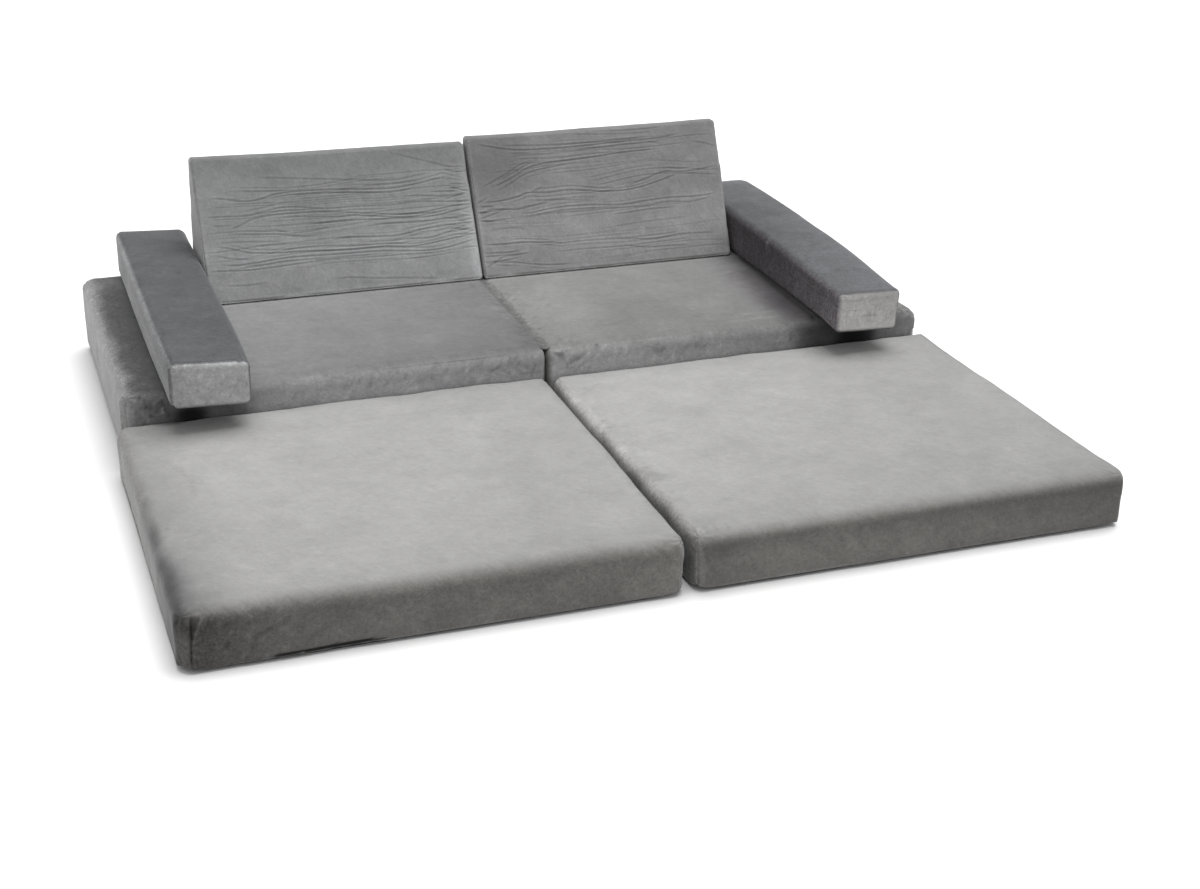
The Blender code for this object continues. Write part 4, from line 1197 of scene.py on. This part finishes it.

# Creases of the leaning faces, listed one by one in shares of the face
strong, fair, faint = 0.0013, 0.0010, 0.0006
creases = {
    "left": (
        (strong, ((.04, .73), (.10, .715), (.17, .69), (.23, .70), (.28, .725), (.36, .735),
                  (.50, .73), (.62, .715), (.70, .71), (.78, .725), (.86, .75), (.93, .775))),
        (faint, ((.14, .76), (.25, .75), (.36, .75))),
        (faint, ((.22, .85), (.45, .81), (.62, .78), (.72, .77), (.80, .79), (.86, .80))),
        (fair, ((.71, .97), (.79, .92), (.87, .875), (.93, .84), (1, .83))),
        (strong, ((.90, .83), (.95, .80), (1, .80))),
        (strong, ((.91, .715), (.96, .71), (1, .70))),
        (strong, ((.83, .665), (.90, .662), (.97, .66))),
        (fair, ((.72, .64), (.80, .645), (.90, .625), (.99, .63))),
        (fair, ((.02, .60), (.10, .595), (.17, .59), (.22, .605), (.30, .63), (.38, .62),
                (.46, .60), (.56, .60), (.68, .59), (.80, .60), (.92, .585), (1, .59))),
        (strong, ((.09, .50), (.14, .525), (.18, .56), (.24, .58), (.30, .585), (.38, .585),
                  (.47, .575), (.60, .545), (.72, .52), (.82, .525), (.92, .55), (1, .56))),
        (fair, ((.27, .56), (.34, .56), (.41, .55), (.48, .54), (.57, .535))),
        (faint, ((.04, .54), (.08, .535), (.12, .53))),
        (strong, ((.38, .50), (.50, .505), (.60, .50), (.72, .49), (.84, .49), (.92, .51), (1, .53))),
        (fair, ((.10, .475), (.18, .46), (.26, .45), (.31, .435), (.36, .42), (.42, .42))),
        (faint, ((.27, .44), (.40, .455), (.48, .475))),
        (fair, ((.60, .465), (.70, .46), (.80, .455), (.95, .475), (1, .48))),
        (faint, ((.05, .42), (.14, .415), (.24, .40), (.30, .39))),
        (faint, ((.17, .38), (.30, .375), (.42, .37))),
        (strong, ((.45, .375), (.52, .385), (.60, .375), (.70, .37), (.80, .40), (.88, .415),
                  (.93, .41), (.97, .39))),
        (strong, ((.04, .40), (.09, .38), (.13, .355), (.17, .335), (.26, .32), (.36, .315),
                  (.46, .305), (.56, .30), (.66, .30), (.74, .285), (.80, .29), (.90, .315),
                  (1, .34))),
        (fair, ((.56, .345), (.66, .335), (.74, .34), (.82, .335), (.88, .36), (.94, .38))),
        (fair, ((.03, .35), (.07, .32), (.12, .30), (.18, .29))),
        (strong, ((.05, .28), (.10, .26), (.18, .265), (.30, .28), (.45, .275), (.62, .27),
                  (.70, .26), (.80, .245), (.88, .255), (1, .30))),
        (fair, ((0, .235), (.10, .225), (.18, .22), (.30, .23), (.42, .24), (.60, .235),
                (.75, .23), (.85, .225))),
        (faint, ((.44, .11), (.52, .105), (.60, .085), (.70, .07), (.85, .04))),
        (faint, ((.05, .13), (.14, .12), (.22, .125))),
        (fair, ((.88, .47), (.93, .463), (.98, .47))),
        (fair, ((.93, .435), (.96, .44), (.99, .45))),
    ),
    "right": (
        (strong, ((.03, .955), (.08, .93), (.15, .90), (.22, .885), (.35, .88), (.50, .885),
                  (.62, .895), (.75, .90), (.85, .92))),
        (faint, ((.12, .93), (.30, .91), (.50, .905), (.70, .91))),
        (faint, ((.15, .87), (.20, .862), (.25, .86))),
        (strong, ((.06, .63), (.11, .66), (.16, .70), (.20, .74), (.24, .765), (.30, .78),
                  (.40, .79), (.50, .80), (.62, .815), (.75, .82))),
        (fair, ((.08, .60), (.14, .65), (.19, .70), (.24, .73), (.32, .75), (.40, .765))),
        (fair, ((.02, .63), (.08, .68), (.14, .73), (.19, .78), (.26, .81))),
        (strong, ((.02, .535), (.10, .54), (.16, .555), (.21, .58), (.28, .57), (.36, .575),
                  (.42, .565), (.50, .545), (.57, .54), (.64, .55), (.72, .58), (.78, .61),
                  (.82, .63))),
        (fair, ((.22, .585), (.25, .60), (.27, .62))),
        (fair, ((.60, .57), (.68, .61), (.74, .645), (.78, .65), (.84, .64), (.92, .65), (.99, .67))),
        (strong, ((.01, .51), (.04, .508), (.08, .503))),
        (strong, ((.04, .49), (.10, .48), (.16, .47), (.22, .485), (.30, .50))),
        (fair, ((0, .475), (.03, .468), (.06, .458))),
        (fair, ((.16, .445), (.21, .435), (.26, .45), (.34, .46), (.45, .455), (.56, .44),
                (.66, .45), (.76, .46), (.88, .455), (.97, .465))),
        (faint, ((.15, .41), (.20, .41), (.26, .42), (.36, .42), (.50, .42), (.66, .415),
                 (.75, .43), (.85, .42), (.95, .44))),
        (faint, ((.20, .525), (.30, .515), (.40, .50), (.46, .495))),
        (faint, ((.52, .375), (.60, .38), (.70, .39), (.80, .39))),
        (faint, ((.04, .34), (.10, .345), (.15, .34), (.18, .32), (.19, .28))),
        (strong, ((0, .245), (.08, .235), (.16, .235), (.22, .225), (.28, .215), (.33, .195))),
        (fair, ((0, .18), (.05, .18), (.10, .175), (.16, .18))),
        (fair, ((.08, .155), (.13, .153), (.19, .16))),
        (fair, ((.02, .12), (.08, .11), (.13, .10), (.18, .08), (.26, .06), (.35, .055))),
        (faint, ((.52, .20), (.60, .19), (.68, .175), (.80, .19), (.95, .18))),
        (faint, ((.55, .155), (.60, .135), (.66, .12), (.75, .115), (.85, .105))),
        (fair, ((.70, .88), (.74, .87), (.77, .85))),
        (faint, ((.88, .86), (.94, .84), (1, .80))),
    ),
}


def companion(path, start, end, offset, wander):
    """A lesser crease that keeps a main one company over part of its length."""
    line = through(path)
    part = line[round(start * (len(line) - 1)) : round(end * (len(line) - 1)) + 1]
    sway = np.sin(np.linspace(0, 2.2 * math.pi, len(part)) + 90 * wander)
    moved = part + np.column_stack([np.zeros(len(part)), offset + wander * sway])
    return moved[:: max(len(part) // 10, 1)]


def press(form, path, depth, width, shade):
    crease(form, front, path, depth, width, back_face, shade=shade)


def wrinkle_back(form, side):
    """The cloth of a leaning face, pulled into long creases from side to side."""
    left = side == "left"
    strength, shade = (0.7, 0.24) if left else (0.8, 0.28)
    rng = np.random.default_rng(form.seed)
    for depth, path in creases[side]:
        press(form, path, strength * depth, 0.0015 if depth > faint else 0.0018, shade)
        if depth < fair or len(path) < 6:
            continue
        for _ in range(3):
            start = rng.uniform(0, 0.6)
            end = min(1, start + rng.uniform(0.25, 0.5))
            offset = rng.choice([-1, 1]) * rng.uniform(0.016, 0.032)
            lesser = companion(path, start, end, offset, rng.uniform(0.001, 0.003))
            if len(lesser) > 2:
                press(form, lesser, depth * rng.uniform(0.3, 0.6), 0.0014, 0.12)
    # Short creases that run in from the side where the backs meet
    edge, inward = (1.0, -1) if left else (0.0, 1)
    for _ in range(24 if left else 12):
        if left:
            v = rng.uniform(0.24, 0.78)
        else:
            v = rng.choice([rng.uniform(0.4, 0.55), rng.uniform(0.05, 0.28)])
        run, tilt = rng.uniform(0.04, 0.16), rng.normal(0.01, 0.03)
        path = [(edge + inward * run * t, v + tilt * t) for t in (0, 0.4, 1)]
        press(form, path, rng.uniform(0.0005, 0.0011), 0.0014, 0.15)
    # Long faint creases that run along with each other
    band = (0.20, 0.80) if left else (0.05, 0.97)
    for v in np.linspace(*band, 34) + rng.normal(0, 0.008, 34):
        start, run = rng.uniform(-0.02, 0.55), rng.uniform(0.25, 0.75)
        u = np.linspace(start, min(start + run, 1.0), 14)
        place = np.column_stack([u, np.full(14, v), np.zeros(14)])
        wander = 0.028 * layered(place, (0.35, 0.16, 1), form.seed + 4)
        depth = rng.uniform(0.00015, 0.0005) * (1 if left else 1.3)
        path = np.column_stack([u, v + 0.030 * (u - 0.4) + wander])
        press(form, path, depth, 0.0013, 0.05 + 200 * depth)


def left_back_nap_and_light(form):
    """The left back's nap, with painted light at its foot and along its inner edge and side, against the
    shade of the seat and of the other back.
    """
    # The underside and the front's foot are painted light, against the shade where the back stands on the
    # seat
    paint(form, (1.0, cool), (0.7, cool), (0.93, colder), (0.9, cool), (2.6, neutral), (0.52, cool))
    ramp(
        form, front, upward, (0, 4.2), (0.009, 2.8), (0.022, 1.35), (0.055, 1.22), (0.15, 1.27),
        (0.35, 1.20), (0.6, 0.93), (0.8, 0.89), (0.93, 0.77), (1, 0.75),
    )
    patch(form, front, (0.9, 0.80), (0.09, 0.08), 0.08, 11)
    patch(form, front, (0.1, 0.10), (0.09, 0.08), 0.08, 12)
    ramp(form, front, to_right, (0, 1.03), (0.3, 0.97), (0.6, 1.04), (0.9, 1.03), (1, 1.08))
    patch(form, front, (0.45, 0.88), (0.3, 0.06), -0.05, 0)
    # Painted light along the inner edge and on the inner side, against the shade between the backs
    patch(form, front, (0.985, 0.5), (0.022, 0.55), 0.30, 1, 4.0)
    patch(form, right_side, (0.5, 0.5), (1.5, 1.5), 0.8, 1, 4.0)


def right_back_nap_and_light(form):
    """The right back's nap, dark at its upper left, with painted light at its foot and along its inner edge
    and side, against the shade of the seat and of the other back.
    """
    # The underside and the front's foot are painted light, against the shade where the back stands on the
    # seat
    paint(form, (0.5, cool), (1.0, cool), (0.92, cool), (0.9, cool), (2.6, neutral), (0.52, cool))
    ramp(
        form, front, upward, (0, 3.8), (0.009, 2.4), (0.022, 1.2), (0.055, 1.1), (0.15, 1.16),
        (0.35, 1.14), (0.6, 0.90), (0.8, 0.86), (1, 0.78),
    )
    ramp(form, front, to_right, (0, 0.92), (0.1, 0.95), (0.35, 1.05), (0.7, 0.98), (1, 0.98))
    patch(form, front, (0.10, 0.80), (0.13, 0.15), -0.27, 0)
    # Painted light along the inner edge and on the inner side, against the shade between the backs
    patch(form, front, (0.0, 0.5), (0.012, 0.6), 0.30, 5, 4.0)
    patch(form, left_side, (0.5, 0.5), (1.5, 1.5), 0.8, 5, 4.0)
    patch(form, front, (0.13, 0.16), (0.05, 0.03), -0.15, 1)
    patch(form, front, (0.96, 0.10), (0.06, 0.12), -0.12, 2)
    patch(form, front, (0.65, 0.15), (0.04, 0.03), -0.08, 3)


def back(side):
    label = f"{side}_back"
    left = side == "left"
    _, inner = outer_and_inner(left)
    low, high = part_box(label + "_cover")

    def shaped(columns, rows, layers):
        radii = ((back_radius, back_radius),) * 3
        upright = (back_outline[0][1], back_outline[2][1])
        deep = (back_outline[0][0], back_outline[1][0])
        middles = [spread(low[0] + back_radius, high[0] - back_radius, *columns, 0.06)]
        for (first, last), step in ((deep, layers), (upright, rows)):
            count = math.ceil((last - first - 2 * back_radius) / step) + 1
            middles.append(np.linspace(first + back_radius, last - back_radius, count))
        spans = ((low[0], high[0]), deep, upright)
        lines = [lines_across(*spans[axis], radii[axis], middles[axis]) for axis in range(3)]
        form = Form(lines, radii)
        form.round_wedge(back_outline, back_radius)
        x, _, z = form.share.T
        form.lift += 0.006 * dome(x) * dome(z) * (form.facing(front) + 0.5 * form.facing(rear))
        form.lift -= 0.002 * form.facing(top) * dome(x)
        if left:
            form.point[:, 2] -= (0.003 + 0.007 * x) * smooth(z)
        else:
            form.point[:, 0] -= 0.008 * x**3 * (1 - z)
        return form

    form = shaped((0.0035, 0.0045), 0.00135, 0.02)
    form.seed = 41 if left else 42
    unevenness(form, 0.0012, 0.0004)
    for end in (0, 1):
        seam(form, (0, end), depth=0.0011, width=0.0013, puff=0.0006, offset=end)
        for other in (0, 1):
            pinch(form, (end, other, 1), 0.008, 6, 0.0005, 2 + other)
    wrinkle_back(form, side)
    zip_channel(form, label, rear, 0.0028)
    if left:
        left_back_nap_and_light(form)
    else:
        right_back_nap_and_light(form)
    mottled(form, 0.06, 0.06, 0.05, 0.05, 0.05, 0.06)
    hold_back(form, inner)
    hold_back(form, underside)
    finish_cover(form, label, label)
    finish_foam(shaped((0.03, 0.04), 0.03, 0.04), label, label)


def fold_strip():
    """Cloth that runs from one base block to the other, with a soft valley between them, and painted shade
    in the valley and on its left wall.
    """
    half, fold_front, fold_length, edge_gap = 0.0105, 0.024, 0.6447, 0.0003
    fold_rear = fold_front + fold_length
    # The outermost lines lie close to the edge, so that its own thickness doesn't show on top
    across = np.concatenate([[-half], np.linspace(edge_gap - half, half - edge_gap, 25), [half]])
    run = np.linspace(fold_front + edge_gap, fold_rear - edge_gap, 130)
    along = np.concatenate([[fold_front], run, [fold_rear]])
    keys, quads = surface_grid((len(across), len(along), 2))
    x, y = across[keys[:, 0]], along[keys[:, 1]]
    place = np.column_stack([x, y, np.zeros(len(x))])
    valley = np.cos(math.pi * x / (2 * half)) ** 1.5
    dip = 0.0029 + 0.0008 * noise(place, (0.05, 0.03, 1), 71)
    pucker = 0.0004 * noise(place, (0.006, 0.008, 1), 72) * valley
    past_edge = np.maximum(seat_front + base_front_radius - y, 0)
    drop = base_front_radius - np.sqrt(base_front_radius**2 - past_edge**2)
    z = seat_top + 0.00015 - dip * valley + pucker - drop - np.where(keys[:, 2] == 0, 0.0008, 0)
    made = mesh_object("fold_velvet", np.column_stack([x, y, z]), quads)
    deep = np.interp(y, (0.0107, 0.078, 0.247, 0.416, 0.686), (0.80, 0.92, 0.98, 1.06, 1.1))
    share = smooth((x + half) / (2 * half) + 0.25 * noise(place, (0.05, 0.014, 1), 73))
    wisps = 1 + 0.16 * layered(place, (0.010, 0.007, 1), 74, 3, 0.7)
    # Painted shade in the valley, more on its left wall, which would otherwise catch the light as a light
    # line
    turned = np.exp(-(((x / half + 0.6) / 0.45) ** 2))
    level = (0.47 + 0.18 * share) * deep * (1 - 0.22 * valley) * (1 - 0.24 * turned) * wisps
    set_nap_and_shading(made, np.column_stack([level, level, level, np.ones(len(level))]))
    put(made, "base", "base_fold_strip", velvet)


def bottom_panel(label, body):
    """Cloth sewn under a block, its turned edge stitched all round."""
    corner_radius, hem_middle, hem_width, stitch_pitch = 0.03, 0.0065, 0.0018, 0.0062
    low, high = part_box(label + "_bottom_panel")
    spans = [spread(low[axis], high[axis], 0.0022, 0.05, 0.06) for axis in range(2)]
    keys, quads = surface_grid((len(spans[0]), len(spans[1]), 2))
    flat = np.column_stack([spans[0][keys[:, 0]], spans[1][keys[:, 1]]])
    edge = np.minimum(flat - low[:2], np.array(high[:2]) - flat).min(1)
    inner = np.clip(flat, np.array(low[:2]) + corner_radius, np.array(high[:2]) - corner_radius)
    offset = flat - inner
    length = np.linalg.norm(offset, axis=1)
    offset *= np.where(length > 0, np.abs(offset).max(1) / np.maximum(length, 1e-9), 1)[:, None]
    stitches = 0.5 + 0.5 * np.cos(2 * math.pi * flat.sum(1) / stitch_pitch)
    hem = 0.0004 * np.exp(-(((edge - hem_middle) / hem_width) ** 2)) * (0.6 + 0.4 * stitches)
    z = np.where(keys[:, 2] == 0, low[2] + hem, high[2])
    made = mesh_object(label + "_panel_cloth", np.column_stack([inner + offset, z]), quads, False)
    put(made, body, label + "_bottom_panel", panel_cloth)


# Zips, each built at its place: a runs along the tape, b across it, and c outward
tooth_pitch = 0.0017
tape_edges = (0.00015, 0.0005, 0.0018, 0.0030, 0.0052, 0.0056, 0.0060)
hinge_over_slider, slider_over_tape = 0.0026, 0.0023
slider_half_length, slider_half_width = 0.0049, 0.0038


def shaped_solid(lines, shape):
    """The points and quads of a box grid that a function of a, b and c then shapes."""
    keys, quads = surface_grid(tuple(len(line) for line in lines))
    abc = np.stack([np.asarray(lines[axis], float)[keys[:, axis]] for axis in range(3)])
    return np.column_stack(shape(*abc)), quads


def joined(*solids):
    points, quads, count = [], [], 0
    for some_points, some_quads in solids:
        points.append(some_points)
        quads.append(some_quads + count)
        count += len(some_points)
    return np.concatenate(points), np.concatenate(quads)


def rounded_slab(length, width, low, high, bevel, corner, steps):
    """A flat slab centred on the tape, with rounded corners and softened edges."""
    a, b = np.linspace(-1, 1, 2 * steps), np.linspace(-1, 1, steps + 2)
    c = (0, 0.25, 0.5, 0.75, 1)

    def shape(a, b, c):
        inset = bevel * (1 - np.sqrt(np.clip(1 - (2 * np.abs(c - 0.5)) ** 3, 0, 1)))
        half_a, half_b = length / 2 - inset, width / 2 - inset
        core_a = np.clip(a * length / 2, corner - length / 2, length / 2 - corner)
        core_b = np.clip(b * width / 2, corner - width / 2, width / 2 - corner)
        off_a, off_b = a * length / 2 - core_a, b * width / 2 - core_b
        far = np.maximum(np.hypot(off_a, off_b), 1e-9)
        pull = np.maximum(np.abs(off_a), np.abs(off_b)) / far
        at_a, at_b = core_a + off_a * pull, core_b + off_b * pull
        return at_a * half_a / (length / 2), at_b * half_b / (width / 2), low + (high - low) * c

    return shaped_solid((a, b, c), shape)


def zip_slider(towards):
    """A slider body that narrows away from its tab, its flanges, and the bridge over it."""

    def width(a):
        return 1 - 0.30 * smooth((a * towards + 1) / 2)

    def body(a, b, c):
        soft = 1 - 0.10 * c**2
        bow = 1 - 0.12 * np.abs(b) ** 3
        at_a = a * slider_half_length * soft * bow
        return at_a, b * slider_half_width * width(a) * soft, 0.0001 + 0.0014 * c

    def flange(sign):
        def shape(a, b, c):
            at_b = sign * (0.0031 + 0.0006 * b) * width(a)
            return a * 0.0042, at_b, 0.0012 + 0.0006 * c - 0.0002 * a**2

        return shape

    def bridge(a, b, c):
        rise = np.sin(math.pi * (a + 1) / 2) ** 0.45
        return a * (0.0036 - 0.0005 * c * rise), b * 0.0009, 0.0011 + (0.0023 + 0.0006 * c) * rise

    spans = np.linspace(-1, 1, 9)
    return joined(
        shaped_solid((spans, spans, (0, 0.5, 0.85, 1)), body),
        shaped_solid((spans, (-1, 0, 1), (0, 0.6, 1)), flange(-1)),
        shaped_solid((spans, (-1, 0, 1), (0, 0.6, 1)), flange(1)),
        shaped_solid((np.linspace(-1, 1, 25), (-1, 0, 1), (0, 0.5, 1)), bridge),
    )


def zip_tab(towards):
    """A flat tab with an eye for the bridge; it hangs from the bar at its end."""
    count = 40
    turn = 2 * math.pi * (np.arange(count) + 0.5) / count
    cos, sin = np.cos(turn), np.sin(turn)

    def loop(centre, half_a, half_b, power):
        round_a = np.sign(cos) * np.abs(cos) ** (2 / power)
        round_b = np.sign(sin) * np.abs(sin) ** (2 / power)
        taper = 1 - 0.16 * (round_a < 0) * np.abs(round_a) if half_a > 0.005 else 1
        return towards * (centre + half_a * round_a), half_b * round_b * taper

    rings = []
    for half_a, half_b, hole, level in (
        (0.0090, 0.0028, 0.0020, 0.0),
        (0.00920, 0.0031, 0.0018, 0.25),
        (0.00920, 0.0031, 0.0018, 0.75),
        (0.0090, 0.0028, 0.0020, 1.0),
    ):
        rings.append((loop(0.00875, half_a, half_b, 3.5), level, False))
        rings.append((loop(0.0026, hole, hole * 0.85, 3.0), level, True))
    outer = [ring for ring in rings if not ring[2]]
    inner = [ring for ring in rings if ring[2]]
    order = outer + inner[::-1]
    points = np.concatenate([
        np.column_stack([a, b, np.full(count, 0.0021 + 0.0010 * level)]) for (a, b), level, _ in order
    ])
    quads = []
    for ring in range(len(order)):
        here, ahead = ring * count, (ring + 1) % len(order) * count
        for i in range(count):
            j = (i + 1) % count
            quad = (here + i, here + j, ahead + j, ahead + i)
            quads.append(quad if towards > 0 else quad[::-1])
    return points, np.array(quads)


def zip_tape(length):
    """Two woven tapes with a raised edge each, and the coil's teeth that lock them together."""
    parts = []
    for sign in (-1, 1):
        a = np.linspace(-length / 2, length / 2, 60)
        rise_at = (0.00015, 0.0005, 0.0018, 0.0030, 0.0056)
        rise = (0.0009, 0.0010, 0.0010, 0.0007, 0.0009)

        def shape(a, b, c, sign=sign, rise_at=rise_at, rise=rise):
            return a, sign * b, 0.0002 + (np.interp(b, rise_at, rise) - 0.0002) * c

        points, quads = shaped_solid((a, tape_edges, (0, 1)), shape)
        parts.append((points, quads if sign > 0 else quads[:, ::-1]))
    count = int((length - 0.006) / tooth_pitch)
    tooth, tooth_quads = rounded_slab(0.0012, 0.0030, 0.0008, 0.0019, 0.0003, 0.0003, 2)
    step = (np.arange(count) - (count - 1) / 2) * tooth_pitch
    shift = np.where(np.arange(count) % 2 == 0, -0.0009, 0.0009)
    places = np.column_stack([step, shift, np.zeros(count)])
    teeth = (tooth[None] + places[:, None]).reshape(-1, 3)
    numbers = tooth_quads[None] + (np.arange(count) * len(tooth))[:, None, None]
    parts.append((teeth, numbers.reshape(-1, 4)))
    for end in (-1, 1):
        stop, stop_quads = rounded_slab(0.0022, 0.0040, 0.0008, 0.0020, 0.0003, 0.0005, 3)
        parts.append((stop + (end * (length / 2 - 0.0025), 0, 0), stop_quads))
    return joined(*parts)


def zip_set(label, body, axis, lean=0.0):
    """Places a zip's tape, slider and tab where their CAD nodes are, facing out along an axis."""
    boxes = {}
    for piece in ("tape", "slider", "tab"):
        low, high = (np.array(corner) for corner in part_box(f"{label}_zip_{piece}"))
        boxes[piece] = ((low + high) / 2, high - low)
    along_axis = 1 - axis
    along = np.eye(3)[along_axis]
    out = np.array([0, math.cos(lean), math.sin(lean)]) if axis == 1 else np.eye(3)[0]
    across = np.cross(out, along)
    towards = math.copysign(1, (boxes["tab"][0] - boxes["slider"][0])[along_axis])

    def build(piece, solid, origin, material, rides_on):
        points, quads = solid
        placed = origin + points @ np.array([along, across, out])
        made = mesh_object(f"{label}_zip_{piece}_made", placed, quads, piece != "tape")
        put(made, rides_on, f"{label}_zip_{piece}", material)

    hinge = next(joint for joint in frame["joints"] if joint["name"] == f"{label}_zip_tab_turn")
    slider_base = np.array(hinge["pos_m"]) - out * hinge_over_slider
    tape_centre, tape_size = boxes["tape"]
    tape_base = slider_base - out * slider_over_tape
    tape_base += along * (tape_centre - slider_base)[along_axis]
    build("tape", zip_tape(tape_size[along_axis]), tape_base, tape_cloth, body)
    build("slider", zip_slider(towards), slider_base, metal, f"{label}_slider")
    build("tab", zip_tab(towards), slider_base, metal, f"{label}_tab")


back_lean = math.atan2(
    back_outline[1][0] - back_outline[2][0], back_outline[2][1] - back_outline[1][1]
)
for half in ("left", "right"):
    mat(half)
    base(half)
    arm(half)
    back(half)
    bottom_panel(f"front_{half}_mat", f"front_{half}_mat")
    bottom_panel(f"rear_{half}_base", "base")
    zip_set(f"front_{half}_mat", f"front_{half}_mat", 0)
    zip_set(f"rear_{half}_base", "base", 1)
    zip_set(f"{half}_arm", f"{half}_arm", 0)
    zip_set(f"{half}_back", f"{half}_back", 1, back_lean)
fold_strip()


# Camera, light and floor
def aim_camera():
    data = bpy.data.cameras.new("view_camera")
    data.sensor_width = sensor_width_mm
    data.lens = focal_px * sensor_width_mm / image_width_px
    data.dof.use_dof = False
    made = bpy.data.objects.new("view_camera", data)
    bpy.context.scene.collection.objects.link(made)
    level = Vector((math.cos(camera_yaw), -math.sin(camera_yaw), 0))
    ahead = (
        math.cos(camera_pitch) * math.sin(camera_yaw),
        math.cos(camera_pitch) * math.cos(camera_yaw),
        -math.sin(camera_pitch),
    )
    upright = level.cross(Vector(ahead))
    right = level * math.cos(camera_roll) + upright * math.sin(camera_roll)
    up = upright * math.cos(camera_roll) - level * math.sin(camera_roll)
    turn = Matrix((right, up, -Vector(ahead))).transposed().to_4x4()
    made.matrix_world = Matrix.Translation(camera_spot) @ turn
    bpy.context.scene.camera = made


def light_scene():
    world = bpy.data.worlds.new("studio")
    bpy.context.scene.world = world
    world.use_nodes = True
    sky = world.node_tree.nodes["Background"]
    sky.inputs["Color"].default_value = (1, 1, 1, 1)
    sky.inputs["Strength"].default_value = sky_strength
    data = bpy.data.lights.new("key_light", "SUN")
    data.energy = key_strength
    data.angle = math.radians(key_angle_deg)
    made = bpy.data.objects.new("key_light", data)
    bpy.context.scene.collection.objects.link(made)
    made.rotation_euler = Vector(key_from).to_track_quat("Z", "Y").to_euler()


def lay_floor():
    half = floor_reach / 2
    corners = np.array([(-half, -half, 0), (half, -half, 0), (half, half, 0), (-half, half, 0)])
    floor = mesh_object("studio_floor", corners, np.array([[0, 1, 2, 3]]), False)
    pale = Shading("pale_floor", Base_Color=(floor_grey, floor_grey, floor_grey, 1), Roughness=0.8)
    floor.data.materials.append(pale.material)


aim_camera()
light_scene()
lay_floor()
bpy.context.scene.view_settings.view_transform = "Standard"
